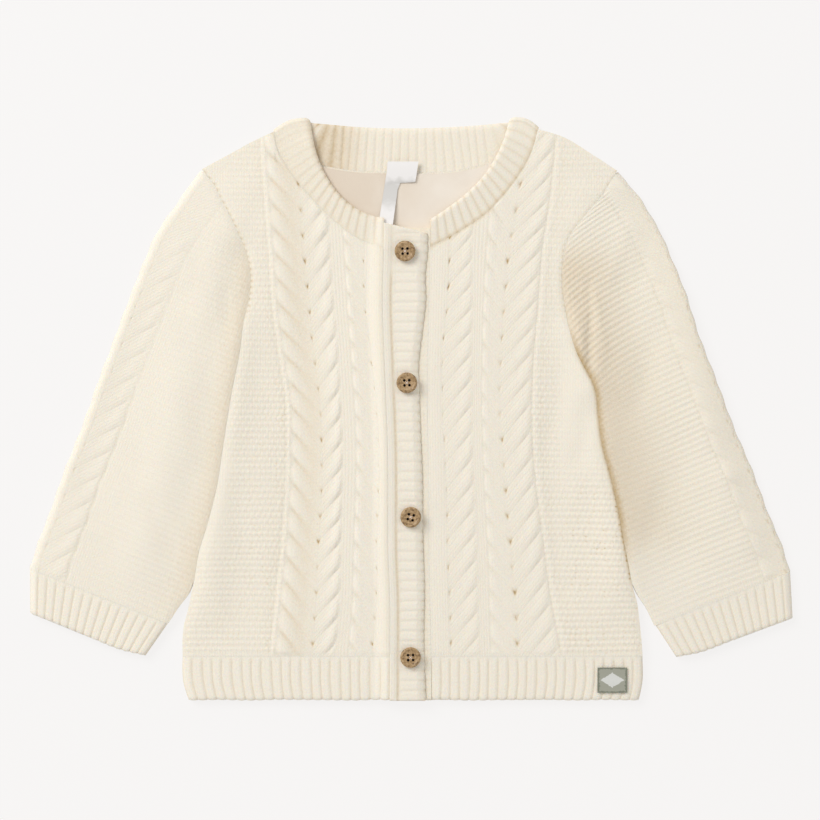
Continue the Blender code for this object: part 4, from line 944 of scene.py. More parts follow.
def build_sleeve(side, sizes, finish):
    """One folded wall: the fold lies on the outer edge, the seam along the body."""
    sign = SIGN[side]
    outer = SLEEVES[side]["outer"]
    slope = math.tan(ROW_SLOPE)
    columns, rows = sizes.grid(SLEEVE_FACE)
    v = np.linspace(0.0, 1.0, rows)[:, None]
    start_height = mix(outer["height"][0], outer["height"][-1] - 0.6, v)
    start_x = across(outer, "x", start_height)

    def below(height):
        fall = np.abs(sleeve_inner(side, height) - start_x) * slope
        return height < start_height - fall

    end_height = solve_height(below, 20.0, 300.0)
    end_x = sleeve_inner(side, end_height)
    span = np.maximum(np.hypot(end_x - start_x, end_height - start_height), 0.4)
    axis = Vector((-sign * math.sin(ROW_SLOPE), math.cos(ROW_SLOPE)))
    level = ((start_x - outer["x"][0]) * axis.x
             + (start_height - outer["height"][0]) * axis.y)

    u = np.linspace(1.0, 0.0, columns)[None, :]
    u = 0.8 * u + 0.2 * u * u

    def row_point(distance):
        share = distance / span
        return mix(start_x, end_x, share), mix(start_height, end_height, share)

    distance = span * u
    x, height = row_point(distance)
    holes, width = SLEEVE_HOLES[side], SLEEVE_CABLE[side]
    from_body = span - distance
    pressed = fade(height, 195, 155) * (side == "right")
    clear = GARTER_CLEAR[side] + mix(0.4, -0.5, pressed) * fade(from_body, 48, 8)
    turn = ROW_TURN[side] * fade(height, 120, 180) * 20 * np.exp(-from_body / 20)
    side_rise, side_relief = garter(distance, level + turn, clear, sizes,
                                    GARTER_BUMPS[side])
    side_knit = (side_rise, side_relief, distance / STITCH_WIDTH, level / ROW_HEIGHT)
    run = 1 - (distance - holes) / width
    cable = half_cable(run, level, width, SLEEVE_CABLE_PITCH, sizes)
    folded = half_cable(1 - (holes - distance) / FOLD_CABLE, level + 0.5 * SLEEVE_CABLE_PITCH,
                        FOLD_CABLE, SLEEVE_CABLE_PITCH, sizes)
    rise, relief, wale, row = lay_over((run >= 0) & (run <= 1), cable,
                                       lay_over(run > 1, folded, side_knit))
    scallop = 0.5 * np.cos(2 * np.pi * level / SLEEVE_CABLE_PITCH - 2.2)
    groove = bell(distance - holes - width - 0.2 - scallop, 0.8)
    groove = groove * (0.4 + 0.6 * np.sin(np.pi * level / ROW_HEIGHT)**2)
    worn = 0.5 * fade(height, 268, 208) + SLEEVE_CABLE_LEAST[side]
    cabled = distance < holes + width
    cable_rise = CABLE_BED + (rise - CABLE_BED) * worn
    cable_relief = 0.8 + (relief - 0.8) * worn
    inwards = holes + width - distance
    joined = mix(ease((inwards + 1.0) / 7.0), 1.0, fade(height, 190, 130))
    rise = np.where(cabled, mix(side_rise, cable_rise, joined), rise)
    relief = np.where(cabled, mix(side_relief, cable_relief, joined), relief)
    groove = groove * (0.3 if side == "right" else mix(0.3, 1.0, fade(height, 185, 135)))
    # The groove is also painted darker: painted shade.
    rise = rise - 0.3 * groove
    relief = relief - 0.9 * groove * worn

    fold = rounded(distance, FOLD_RADIUS, FOLD_HEIGHT, FRONT_TOP)
    fall = OUTER_FALL[side] * fade(span, 12, 42)
    fold = fold - fall * bell(distance, 12.0) * ease(distance / 4)
    inner = np.abs(sleeve_inner(side, height) - x)
    drop = SEAM_EDGE_DROP * worn_seam(side, height)
    seam = sunk(inner, SEAM_EDGE_REACH, FRONT_TOP - 2 * drop, FRONT_TOP)
    plain = np.minimum(fold, seam) + drape(x, height)
    dip = seam_dip(level, 0.05, 1.8)
    calm = ease(level / 3.0) * ease(from_body / 3.0)
    z = plain + mix(SEWN_LEVEL, rise, calm) * ease(distance / 3.0) - dip
    # Painted shade on the sleeve beside the body, and on the right sleeve's outer side where it
    # sinks to the fold.
    shade = bell(from_body, SHADE_REACH[side]) * SHADE_DEPTH[side]
    shade = shade * ease((height - SHADE_FROM[side]) / 40) * fade(height, 262, 232)
    shade = shade + 0.3 * fall * bell(distance, 9.0)
    relief = np.maximum(relief - shade, -0.3)
    # painted shadow on the sleeve along the body's edge
    line = bell(from_body, 2.6) * fade(height, 205, 185) * fade(height, 62, 82)
    relief = relief - 0.45 * EDGE_SHADE[side] * line
    z = np.maximum(z, FOLD_HEIGHT)
    narrow = ease(span / 14.0)
    end = FRONT_TOP + 0.25 - drop + drape(x, height)
    z = mix(end, z, np.where(z > end, narrow, 1.0))
    wave = 0.25 * np.cos(2 * np.pi * level / SLEEVE_CABLE_PITCH) * fade(distance, 4, 0)
    x = x + sign * wave * ease(span / 20.0)
    # The sleeve is also painted a little darker along the cuff seam: painted shade.
    made = folded_wall("sleeve_" + side, stack(x, height, z), span, row_point,
                       stitches(relief - 0.4 * dip, wale, row), finish)
    area = 2 * abs(np.trapz(span[:, 0] * math.cos(ROW_SLOPE), start_height[:, 0]))
    return made, area


def build_cuff(side, sizes, finish):
    """A folded rib: its ribs run from the cuff seam to the opening."""
    cuff = CUFFS[side]
    length = CUFF_SIZE[1]
    across_rib, rows = CUFF_RIB_GRID
    share = np.linspace(1.0, 0.0, CUFF_RIBS * across_rib + 1)[None, :]
    width = math.dist((cuff["seam_x"][0], cuff["seam_height"][0]),
                      (cuff["seam_x"][-1], cuff["seam_height"][-1]))
    v = np.linspace(0.0, 1.0, rows)[:, None]**0.9

    def spot(at, down):
        sx, sh = along(cuff, "seam_x", "seam_height", at)
        ex, eh = along(cuff, "end_x", "end_height", at)
        return mix(sx, ex, down), mix(sh - SEAM, eh, down)

    wave = ribs(share, CUFF_RIBS)
    down = v * (1 - 0.018 * (1 - wave))
    x, height = spot(share + 0.0 * v, down)
    distance = share * width + 0.0 * v
    fold = rounded(distance, FOLD_RADIUS, FOLD_HEIGHT, FRONT_TOP)
    seam = rounded(width - distance, RIB_EDGE_REACH, FRONT_TOP - RIB_EDGE_DROP, FRONT_TOP)
    z = np.minimum(fold, seam)
    calm = ease(v * length / 4.0)
    rib = sizes.rib_relief * 1000 * (wave - 0.15)
    z = z + mix(SEWN_LEVEL, rib, calm) * ease(distance / FOLD_RADIUS + 0.1)
    z = z - (LOW_EDGE_DROP - rounded((1 - v) * length, 2.6, 0.0, LOW_EDGE_DROP))
    z = z - seam_dip(v * length, 0.05, 1.8) + mix(1.0, 0.2, v) * drape(x, height)
    z = np.maximum(z, np.where(distance < 0.3, FOLD_HEIGHT, FRONT_UNDERSIDE + 0.6))

    def under(at):
        return spot(np.clip(at / width, 0.0, 1.0) + 0.0 * v, v)

    knit = stitches(mix(0.8, wave, 0.3 + 0.7 * calm), share * CUFF_RIBS,
                    v * length / ROW_HEIGHT)
    made = folded_wall("cuff_" + side, stack(x, height, z), width + 0.0 * v, under, knit, finish)
    return made, 2 * math.prod(CUFF_SIZE)


# Neck ---------------------------------------------------------------------------------


def build_neckband(sizes, finish):
    """One rib strip from centre front to centre front, folded over at both shoulders.

    Its run is told in lines: x and height of the seam and of the free edge, their z, how far
    the strip has turned over, the rib, how much of its inner face shows, the count of ribs,
    and how near a shoulder corner is.
    """
    front_z = FRONT_UNDERSIDE + WALL / 2
    back_z = WALL / 2
    across_rib, rows = NECK_RIB_GRID

    def front(side):
        share = np.linspace(0.0, 1.0, NECK_RIBS[side] * across_rib + 1)
        sx, sh = along(NECKS[side], "seam_x", "seam_height", share)
        fx, fh = along(NECKS[side], "free_x", "free_height", share)
        rise = climb_to(NECK_LEFT["seam_x"][0], sx) if side == "left" else 0.0 * share
        opening = FREE_EDGE_RISE * ease((1 - share) * CORNER_SHARE)
        fading = 1 - NECK_RIB_FADE[side] * ease((share - 0.45) / 0.4)
        wave = mix(0.75, ribs(share, NECK_RIBS[side], 1.6), NECK_RIB_DEPTH[side] * fading)
        tuck = bell((1 - share) * FRONT_SEAM_RUN, TUCK_REACH)
        return np.stack((sx, sh, fx, fh, front_z + rise, front_z + np.maximum(rise, opening),
                         0 * share, wave, 0 * share, share * NECK_RIBS[side], tuck))

    def corner(side):
        sx, sh, fx, fh = (NECKS[side][name][-1] for name in NECK_COLUMNS.split())
        run = np.array((fx - sx, fh - sh))
        run = run / np.hypot(*run)
        outwards = np.array((-run[1], run[0])) * -SIGN[side]
        radius = (front_z - back_z) / 2
        turn = np.linspace(0.0, np.pi, 13)[1:-1]
        shift = radius * np.sin(turn)
        z = back_z + radius + radius * np.cos(turn)
        one = np.ones_like(turn)
        return np.stack((sx + outwards[0] * shift, sh + outwards[1] * shift,
                         fx + outwards[0] * shift, fh + outwards[1] * shift, z, z, turn,
                         0.75 * one, 0 * one, 0 * one, one)), outwards

    left = front("left")
    right = front("right")[:, ::-1]
    left_fold, left_out = corner("left")
    right_fold, right_out = corner("right")
    share = np.linspace(0.0, 1.0, NECK_RIBS["back"] * across_rib + 1)
    sx, sh = along(NECK_BACK, "seam_x", "seam_height",
                   smooth(UPRIGHT["free"], UPRIGHT["seam"], share))
    fx, fh = along(NECK_BACK, "free_x", "free_height", share)
    from_corner = 0.5 - np.abs(share - 0.5)
    shown = ease((from_corner - 0.06) * 2 * CORNER_SHARE)
    one = np.ones_like(share)
    back = np.stack((sx, sh, fx, fh, back_z * one, back_z * one, np.pi * one,
                     ribs(share, NECK_RIBS["back"], 1.5), shown, share * NECK_RIBS["back"],
                     bell(from_corner * BACK_SEAM_RUN, TUCK_REACH)))
    run = np.concatenate((left, left_fold, back, right_fold[:, ::-1], right), axis=1)
    outwards = np.zeros((run.shape[1], 2))
    outwards[:left.shape[1] + left_fold.shape[1]] = left_out
    outwards[left.shape[1] + left_fold.shape[1]:] = right_out
    sx, sh, fx, fh, sz, fz, turn, wave, shown, count, tuck = (line[:, None] for line in run)
    fx = mix(fx, sx, TUCK * tuck)
    fh = mix(fh, sh, TUCK * tuck)
    normal = np.stack((outwards[:, 0] * np.sin(turn[:, 0]), outwards[:, 1] * np.sin(turn[:, 0]),
                       np.cos(turn[:, 0])), axis=-1)[:, None, :]
    s = np.linspace(0.0, 1.0, rows)[None, :]
    lie = np.where(turn == 0, drape(sx, sh), 0.0) * (1 - s)
    bow = CORNER_BULGE * tuck * np.sin(np.pi * s)
    middle = stack(mix(sx, fx, s) + outwards[:, :1] * bow, mix(sh, fh, s) + outwards[:, 1:] * bow,
                   mix(sz, fz, s) + lie)
    edge = np.sqrt(np.clip(1 - (np.clip(s - 0.82, 0, 1) / 0.18)**2, 0, 1))
    from_seam = s * NECKBAND_DEPTH
    seam = seam_dip(from_seam, 0.05, 1.4)
    calm = ease(from_seam / 3.5)
    outer_wave = np.where(shown > 0, 0.0, wave) * sizes.rib_relief * 720
    outer = WALL / 2 * edge + mix(SEWN_LEVEL, outer_wave * edge, calm) - seam
    inner_wave = sizes.rib_relief * 600 * (wave - 0.6) * shown
    inner = WALL / 2 * edge + inner_wave * edge
    front_points = middle + normal * outer[..., None]
    back_points = (middle - normal * inner[..., None])[:, -2::-1]
    points = np.concatenate((front_points, back_points), axis=1)
    points[..., 2] = np.maximum(points[..., 2], 0.0)
    relief = mix(0.8, wave, 0.3 + 0.7 * calm)
    # The neckband is painted darker, more so towards the left and along its free edge: painted
    # shade.
    leftmost = ease((-sx - 10) / 30)
    relief = relief - 0.15 - 0.25 * leftmost
    relief = relief - mix(0.15, 0.6, leftmost) * ease((s - 0.8) / 0.2)
    # painted shadow along the seam
    relief = relief - mix(NECK_SHADE["right"], NECK_SHADE["left"], sx < 0) * bell(from_seam, 2)
    # Where the back's inner face shows it is painted darker, and darker still towards the left
    # corner: painted shadow.
    corner_shade = 0.95 * fade(fx, -16, -42)
    relief = np.where(shown > 0, 0.3 + 0.4 * wave - corner_shade, relief)
    relief = np.concatenate((relief, relief[:, -2::-1]), axis=1)
    wale = np.broadcast_to(count, relief.shape)
    row = np.broadcast_to(np.concatenate((s, s[:, -2::-1]), axis=1) * 9.0, relief.shape)
    made = ring_cloth("neckband", points, stitches(relief, wale, row), finish)
    return made, math.prod(NECKBAND_SIZE)


def build_lining(finish):
    """The smooth lining inside the neck, tucked a little under the neckband's front."""
    low = BACK_TOP + GAP
    u, v = shares(*LINING_GRID)
    base, highest = LINING["height"][[0, -1]]

    def place(height):
        height = np.minimum(height, highest)
        return mix(across(LINING, "left", height), across(LINING, "right", height), u)

    back_x, back_height = along(NECK_BACK, "seam_x", "seam_height", np.linspace(0, 1, 120))

    def top_at(x):
        return np.minimum(np.interp(x, back_x, back_height) - LINING_TUCK, highest)

    top, height, x = fill_up(place, top_at, v, base, LINING_TOP_RANGE)
    z = low + LINING_WALL + 0.12 * uneven(x, height, 7.0)
    knit = stitches(0.8, x / JERSEY_STITCH[0], height / JERSEY_STITCH[1])
    made = panel("lining_back", stack(x, height, z), low, knit, finish)
    return made, abs(np.trapz(top[0] - base, x[-1]))


# Trim ---------------------------------------------------------------------------------


def remove_slivers(bm):
    """Merge points closer than SLIVER and drop the faces that this leaves without area."""
    bmesh.ops.remove_doubles(bm, verts=bm.verts[:], dist=SLIVER)
    bmesh.ops.dissolve_degenerate(bm, dist=SLIVER, edges=bm.edges[:])


def button_mesh(radius, thickness, finish, hole_shade_finish):
    """A turned button with a rounded rim, a dished face and four holes.

    It stays BUTTON_INSET inside the radius and the thickness given, on every side.
    """
    profile = ((0.0, 0.25), (2.2, BUTTON_INSET), (4.2, 0.15), (5.0, 0.45), (5.4, 0.9),
               (radius - BUTTON_INSET, 1.4), (radius - 0.3, 1.8), (5.05, 2.3),
               (4.7, thickness - BUTTON_INSET),
               (4.3, 2.45), (3.9, 2.2), (3.4, 2.05), (2.0, 2.0), (0.0, 2.0))
    bm = bmesh.new()
    line = [bm.verts.new((x, 0, z)) for x, z in profile]
    edges = [bm.edges.new(pair) for pair in zip(line, line[1:])]
    bmesh.ops.spin(bm, geom=line + edges, cent=(0, 0, 0), axis=(0, 0, 1), dvec=(0, 0, 0),
                   angle=2 * math.pi, steps=56, use_merge=True, use_duplicate=False)
    bmesh.ops.remove_doubles(bm, verts=bm.verts, dist=1e-4)
    bmesh.ops.recalc_face_normals(bm, faces=bm.faces)
    blank = new_mesh("button_blank", bm, finish, hole_shade_finish)
    drill = bmesh.new()
    for quarter in range(4):
        turn = math.radians(45 + 90 * quarter)
        place = Matrix.Translation((BUTTON_HOLE_SPREAD * math.cos(turn),
                                    BUTTON_HOLE_SPREAD * math.sin(turn), BUTTON_HOLE_HEIGHT))
        bmesh.ops.create_cone(drill, cap_ends=True, segments=16, radius1=0.4, radius2=0.85,
                              depth=2.0, matrix=place)
    # The holes' walls take the second finish: painted shade.
    for face in drill.faces:
        face.material_index = 1
    body = add_object("button_blank", blank)
    tool = add_object("button_holes", new_mesh("button_holes", drill, finish, hole_shade_finish))
    cut = body.modifiers.new("holes", "BOOLEAN")
    cut.operation = "DIFFERENCE"
    cut.solver = "EXACT"
    cut.object = tool
    graph = bpy.context.evaluated_depsgraph_get()
    pierced = bpy.data.meshes.new_from_object(body.evaluated_get(graph))
    bpy.data.objects.remove(body)
    bpy.data.objects.remove(tool)
    bm = bmesh.new()
    bm.from_mesh(pierced)
    remove_slivers(bm)
    bm.to_mesh(pierced)
    bm.free()
    return pierced


def place_on_garment(made, matrix):
    """Moves a mesh in millimetres to its place and turns it into metres."""
    made.data.transform(matrix)
    made.data.transform(Matrix.Translation((0, -GARMENT_LENGTH / 2, 0)))
    made.data.transform(Matrix.Scale(MM, 4))


def build_buttons(sizes, finish, hole_shade_finish, thread):
    blank = button_mesh(sizes.button_diameter * 500, BUTTON_THICKNESS, finish, hole_shade_finish)
    seat = FRONT_UNDERSIDE + BAND_LIFT + WALL + BUTTON_LIFT
    made = []
    for i, (x, height) in enumerate(zip(BUTTONS["x"], BUTTONS["height"])):
        lean = math.radians(BUTTONS["tilt"][i])
        raised = BUTTON_LEAN_RADIUS * math.sin(lean)
        place = (Matrix.Translation((x, height, seat + raised))
                 @ Matrix.Rotation(math.radians(BUTTONS["turn"][i]), 4, "Z")
                 @ Matrix.Rotation(lean, 4, "X"))
        button = add_object(f"wooden_button_{i + 1}", blank.copy())
        smoothen(button.data, 40)
        bm = bmesh.new()
        for turn in (45, 135):
            spot = (Matrix.Rotation(math.radians(turn), 4, "Z")
                    @ Matrix.Diagonal((*THREAD_SIZE, 1.0)))
            bmesh.ops.create_icosphere(bm, subdivisions=3, radius=1.0,
                                       matrix=Matrix.Translation((0, 0, THREAD_HEIGHT)) @ spot)
        name = f"thread_{i + 1}"
        tie = add_object(name, new_mesh(name, bm, thread))
        tie.data.shade_smooth()
        for item in (button, tie):
            place_on_garment(item, place)
        made.append((button, tie))
    bpy.data.meshes.remove(blank)
    return made


def neck_label_wave(x, height):
    """The label's soft bends: its strip lifts towards its lower end."""
    return (0.35 * math.sin((height - 258) / 4.2) + 0.25 * math.sin(x / 2.6)
            + 1.3 * max(0.0, (272 - height) / 14)**1.5 + 0.35)


def hem_label_wave(x, height):
    return 0.12 * math.sin(x * 0.9) + 0.08 * math.sin(height * 0.8)


def build_label(name, corners, low, thickness, wave, finish):
    """A thin label of a given outline, bent by wave."""
    bm = bmesh.new()
    outline = [bm.verts.new((x, h, low)) for x, h in zip(corners["x"], corners["height"])]
    bm.faces.new(outline)
    lowest = corners["height"].min() + LABEL_STEP
    for height in np.arange(lowest, corners["height"].max(), LABEL_STEP):
        everything = bm.verts[:] + bm.edges[:] + bm.faces[:]
        bmesh.ops.bisect_plane(bm, geom=everything, plane_co=(0, height, 0), plane_no=(0, 1, 0))
    remove_slivers(bm)
    raised = bmesh.ops.extrude_face_region(bm, geom=bm.faces[:])["geom"]
    up = [item for item in raised if isinstance(item, bmesh.types.BMVert)]
    bmesh.ops.translate(bm, verts=up, vec=(0, 0, thickness))
    for vert in bm.verts:
        vert.co.z += wave(vert.co.x, vert.co.y)
    bmesh.ops.recalc_face_normals(bm, faces=bm.faces)
    made = to_object(name, bm, finish)
    made.data.set_sharp_from_angle(angle=math.radians(50))
    return made


# Finishes -----------------------------------------------------------------------------


class Nodes:
    """A short way to wire a material."""

    def __init__(self, name):
        self.material = bpy.data.materials.new(name)
        self.material.use_nodes = True
        self.tree = self.material.node_tree
        self.shader = self.tree.nodes["Principled BSDF"]

    def add(self, kind, **settings):
        node = self.tree.nodes.new(kind)
        for key, value in settings.items():
            setattr(node, key, value)
        return node

    def link(self, source, target):
        self.tree.links.new(source, target)

    def fill(self, node, sockets):
        """Links sockets to other nodes' outputs, or sets them to values."""
        for name, value in sockets.items():
            if isinstance(value, bpy.types.NodeSocket):
                self.link(value, node.inputs[name])
            else:
                node.inputs[name].default_value = value

    def math(self, operation, first, second=0.0, third=0.0):
        node = self.add("ShaderNodeMath", operation=operation)
        self.fill(node, {0: first, 1: second, 2: third})
        return node.outputs[0]

    def attribute(self, name):
        return self.add("ShaderNodeAttribute", attribute_name=name).outputs["Fac"]

    def ramp(self, factor, *stops):
        node = self.add("ShaderNodeValToRGB")
        points = node.color_ramp.elements
        while len(points) < len(stops):
            points.new(0.5)
        for point, (at, colour) in zip(points, stops):
            point.position = at
            point.color = (*colour, 1.0)
        self.link(factor, node.inputs[0])
        return node.outputs[0]

    def place(self):
        """An object's own x, y and z in metres."""
        node = self.add("ShaderNodeSeparateXYZ")
        self.link(self.add("ShaderNodeTexCoord").outputs["Object"], node.inputs[0])
        return node.outputs

    def noise(self, scale, detail=2.0, roughness=0.5):
        node = self.add("ShaderNodeTexNoise")
        place = self.add("ShaderNodeTexCoord").outputs["Object"]
        self.fill(node, {"Vector": place, "Scale": scale, "Detail": detail,
                         "Roughness": roughness})
        return node.outputs["Fac"]

    def bump(self, height, strength, distance, normal=None):
        node = self.add("ShaderNodeBump")
        self.fill(node, {"Strength": strength, "Distance": distance, "Height": height})
        if normal is not None:
            self.link(normal, node.inputs["Normal"])
        return node.outputs["Normal"]

    def mix(self, share, start, end):
        node = self.add("ShaderNodeMix", data_type="RGBA")
        self.fill(node, {0: share, 6: start, 7: end})
        return node.outputs[2]

    def finish(self, colour, **values):
        """Gives the shader its colour and other values, with _ for each space in a name."""
        self.fill(self.shader, {"Base Color": colour})
        self.fill(self.shader, {name.replace("_", " "): value
                                for name, value in values.items()})
        return self.material


def stitch_height(nodes):
    """Height of the two legs of each knit stitch, from its wale and its row."""
    wale = nodes.attribute("wale")
    row = nodes.attribute("row")
    inside = nodes.math("FRACT", wale)
    apart = nodes.math("ABSOLUTE", nodes.math("SUBTRACT", inside, 0.5))
    leg = nodes.math("ABSOLUTE", nodes.math("SINE", nodes.math("MULTIPLY", apart, 2 * math.pi)))
    lean = nodes.math("SUBTRACT", row, nodes.math("MULTIPLY", apart, 1.6))
    step = nodes.math("FRACT", lean)
    length = nodes.math("SINE", nodes.math("MULTIPLY", step, math.pi))
    return nodes.math("MULTIPLY", leg, nodes.math("POWER", length, 0.6))


def make_wool(colours):
    nodes = Nodes("cream_wool")
    # The wool's colour follows its relief: it is painted darker where the relief is low, as
    # painted shade in valleys and holes, and a little lighter where it is high, as a painted
    # highlight on the crests.
    relief = nodes.math("ADD", nodes.math("MULTIPLY", nodes.attribute("relief"), 0.5), 0.5)
    speckle = nodes.math("SUBTRACT", nodes.noise(650.0, detail=3.0, roughness=0.7), 0.5)
    relief = nodes.math("ADD", relief, nodes.math("MULTIPLY", speckle, 0.35))
    colour = nodes.ramp(relief, (0.0, colours.hole), (0.38, colours.valley_shade),
                        (0.72, colours.wool), (1.0, colours.crest))
    fuzz = nodes.noise(1400.0, detail=3.0, roughness=0.6)
    normal = nodes.bump(stitch_height(nodes), strength=0.3, distance=0.0003)
    normal = nodes.bump(fuzz, strength=0.45, distance=0.0004, normal=normal)
    return nodes.finish(colour, Normal=normal, Roughness=0.92,
                        Specular_IOR_Level=0.15, Subsurface_Weight=0.18,
                        Subsurface_Radius=(1.0, 0.75, 0.5), Subsurface_Scale=0.0012,
                        Sheen_Weight=0.2, Sheen_Roughness=0.6)


def make_jersey(colours):
    nodes = Nodes("cream_jersey")
    # The lining is painted darker towards its left, where the neckband shades it: painted shade.
    lit_share = nodes.math("MULTIPLY_ADD", nodes.place()[0], 16.0, 0.5)
    lit_share = nodes.math("ADD", lit_share, nodes.math("SUBTRACT", nodes.noise(60.0), 0.5))
    colour = nodes.ramp(lit_share, (0.1, colours.jersey_shade), (0.9, colours.jersey))
    normal = nodes.bump(stitch_height(nodes), strength=0.35, distance=0.0002)
    return nodes.finish(colour, Normal=normal, Roughness=0.85, Specular_IOR_Level=0.2)


def make_wood(colours):
    nodes = Nodes("button_wood")
    grain = nodes.noise(700.0, detail=4.0, roughness=0.7)
    colour = nodes.ramp(grain, (0.35, colours.wood_dark), (0.48, colours.wood),
                        (0.62, colours.wood_light))
    normal = nodes.bump(grain, strength=0.2, distance=0.0002)
    return nodes.finish(colour, Normal=normal, Roughness=0.42)


def make_hole_shade(colours):
    # The holes' walls are painted nearly black: painted shade.
    return Nodes("button_hole_shade").finish((*colours.wood_hole_shade, 1.0), Roughness=0.9)


def make_thread(colours):
    nodes = Nodes("button_thread")
    normal = nodes.bump(nodes.noise(2500.0), strength=0.4, distance=0.0002)
    return nodes.finish((*colours.thread, 1.0), Normal=normal, Roughness=0.7)


def make_satin(colours):
    nodes = Nodes("label_satin")
    # The white satin is painted grey across the middle of the label's height and in its folds:
    # painted shade.
    up_label = nodes.math("MULTIPLY_ADD", nodes.place()[1], 28.5, -2.85)
    fold = nodes.math("MULTIPLY_ADD", nodes.noise(240.0), 0.3, -0.15)
    colour = nodes.ramp(nodes.math("ADD", up_label, fold), (0.2, colours.satin),
                        (0.38, colours.satin_shade), (0.62, colours.satin_shade),
                        (0.75, colours.satin))
    normal = nodes.bump(nodes.noise(1800.0), strength=0.1, distance=0.0001)
    return nodes.finish(colour, Normal=normal, Roughness=0.4)


def make_woven(colours):
    """Sage cloth with a plain pale lozenge woven in."""
    nodes = Nodes("label_woven")
    place = nodes.place()
    off = [nodes.math("ABSOLUTE", nodes.math("SUBTRACT", place[i], HEM_LABEL_MIDDLE[i]))
           for i in range(2)]
    apart = nodes.math("ADD", nodes.math("MULTIPLY", off[0], 0.62), off[1])
    ragged = nodes.math("MULTIPLY", nodes.noise(900.0), 0.0012)
    figure = nodes.math("LESS_THAN", nodes.math("ADD", apart, ragged), 0.0046)
    colour = nodes.mix(figure, (*colours.sage, 1.0), (*colours.label_pale, 1.0))
    to_edge = nodes.math("MAXIMUM", nodes.math("DIVIDE", off[0], HEM_LABEL_HALF[0]),
                         nodes.math("DIVIDE", off[1], HEM_LABEL_HALF[1]))
    worn = nodes.math("MULTIPLY_ADD", nodes.noise(1100.0), 0.3, -0.15)
    border = nodes.math("GREATER_THAN", nodes.math("ADD", to_edge, worn), 0.88)
    colour = nodes.mix(border, colour, (*colours.sage_dark, 1.0))
    normal = nodes.bump(nodes.noise(2500.0), strength=0.3, distance=0.0002)
    return nodes.finish(colour, Normal=normal, Roughness=0.75)


# The add-on ---------------------------------------------------------------------------


def colour_property(name, description, default):
    return bpy.props.FloatVectorProperty(name=name, description=description, subtype="COLOR",
                                         size=3, min=0.0, max=1.0, default=default)


def length_property(name, description, default, least=0.0):
    return bpy.props.FloatProperty(name=name, description=description, default=default,
                                   min=least, unit="LENGTH")


class CardiganSizes(bpy.types.PropertyGroup):
    cable_relief: length_property("Cable relief", "How far the strands of a cable stand out",
                                  0.0007)
    garter_relief: length_property("Garter relief",
                                   "How far the bumps of the plain panels stand out", 0.0004)
    rib_relief: length_property("Rib relief", "How far the ribs stand out", 0.0004)
    button_diameter: length_property("Button",
                                     "Diameter of a button's solid, 0.2 mm over its mesh",
                                     0.0114, 0.005)
    point_spacing: length_property("Point spacing", "Between the points of fronts and sleeves",
                                   POINT_SPACING * MM, 0.0003)

    def grid(self, face):
        """Points across and up a face given in millimetres."""
        return [int(length * MM / self.point_spacing) for length in face]


class CardiganColours(bpy.types.PropertyGroup):
    wool: colour_property("Wool", "The wool's main colour", (0.885, 0.815, 0.685))
    # The next three are a painted highlight on the wool's crests and painted shade in its valleys
    # and holes.
    crest: colour_property("Crest", "The wool where it stands out", (0.915, 0.85, 0.735))
    valley_shade: colour_property("Valley", "The wool down between its stitches", (0.805, 0.70, 0.545))
    hole: colour_property("Hole", "The bottom of a hole in the knit", (0.52, 0.37, 0.18))
    jersey: colour_property("Jersey", "The lining", (0.905, 0.82, 0.715))
    # painted shade on the lining's left side
    jersey_shade: colour_property("Warm jersey", "The lining's left side", (0.80, 0.69, 0.565))
    wood: colour_property("Wood", "The buttons' main colour", (0.37, 0.23, 0.10))
    wood_light: colour_property("Light wood", "The grain's light part", (0.52, 0.36, 0.20))
    wood_dark: colour_property("Dark wood", "The grain's dark part", (0.13, 0.072, 0.032))
    # painted shade inside the buttons' holes
    wood_hole_shade: colour_property("Hole wall", "The wood inside the holes", (0.03, 0.015, 0.01))
    thread: colour_property("Thread", "The buttons' thread", (0.74, 0.60, 0.50))
    satin: colour_property("Satin", "The neck label", (0.90, 0.87, 0.85))
    # painted shade on the satin label
    satin_shade: colour_property("Grey satin", "The neck label's folds", (0.70, 0.68, 0.65))
    sage: colour_property("Sage", "The side label's ground", (0.37, 0.37, 0.30))
    sage_dark: colour_property("Dark sage", "The side label's edge", (0.21, 0.22, 0.165))
    label_pale: colour_property("Pale yarn", "The side label's figure", (0.70, 0.70, 0.66))
    floor: colour_property("Floor", "The floor", (0.12, 0.118, 0.117))


def finishes():
    """The materials by name, made once."""
    colours = bpy.context.scene.cardigan_colours
    makers = {"cream_wool": make_wool, "cream_jersey": make_jersey, "button_wood": make_wood,
              "button_hole_shade": make_hole_shade, "button_thread": make_thread, "label_satin": make_satin,
              "label_woven": make_woven}
    return {name: bpy.data.materials.get(name) or maker(colours)
            for name, maker in makers.items()}


def add_sheet(made, area, name, node, flat, held, rests_on, slot="knit_cream"):
    """Names a piece of cloth, hangs it from the root's empty and hides the solid that it stands
    for.
    """
    made.name = name
    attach(made, "root")
    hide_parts(node)


class CARDIGAN_OT_back(bpy.types.Operator):
    """Make the back and its rib"""
    bl_idname = "cardigan.back"
    bl_label = "Back"

    def execute(self, context):
        wool = finishes()["cream_wool"]
        add_sheet(*build_back(wool), "knit_back", "back", (252, 286), "laid", "floor")
        add_sheet(*build_hem_back(wool), "knit_hem_back", "hem_back", (251, 24), "laid",
                  "floor")
        return {"FINISHED"}


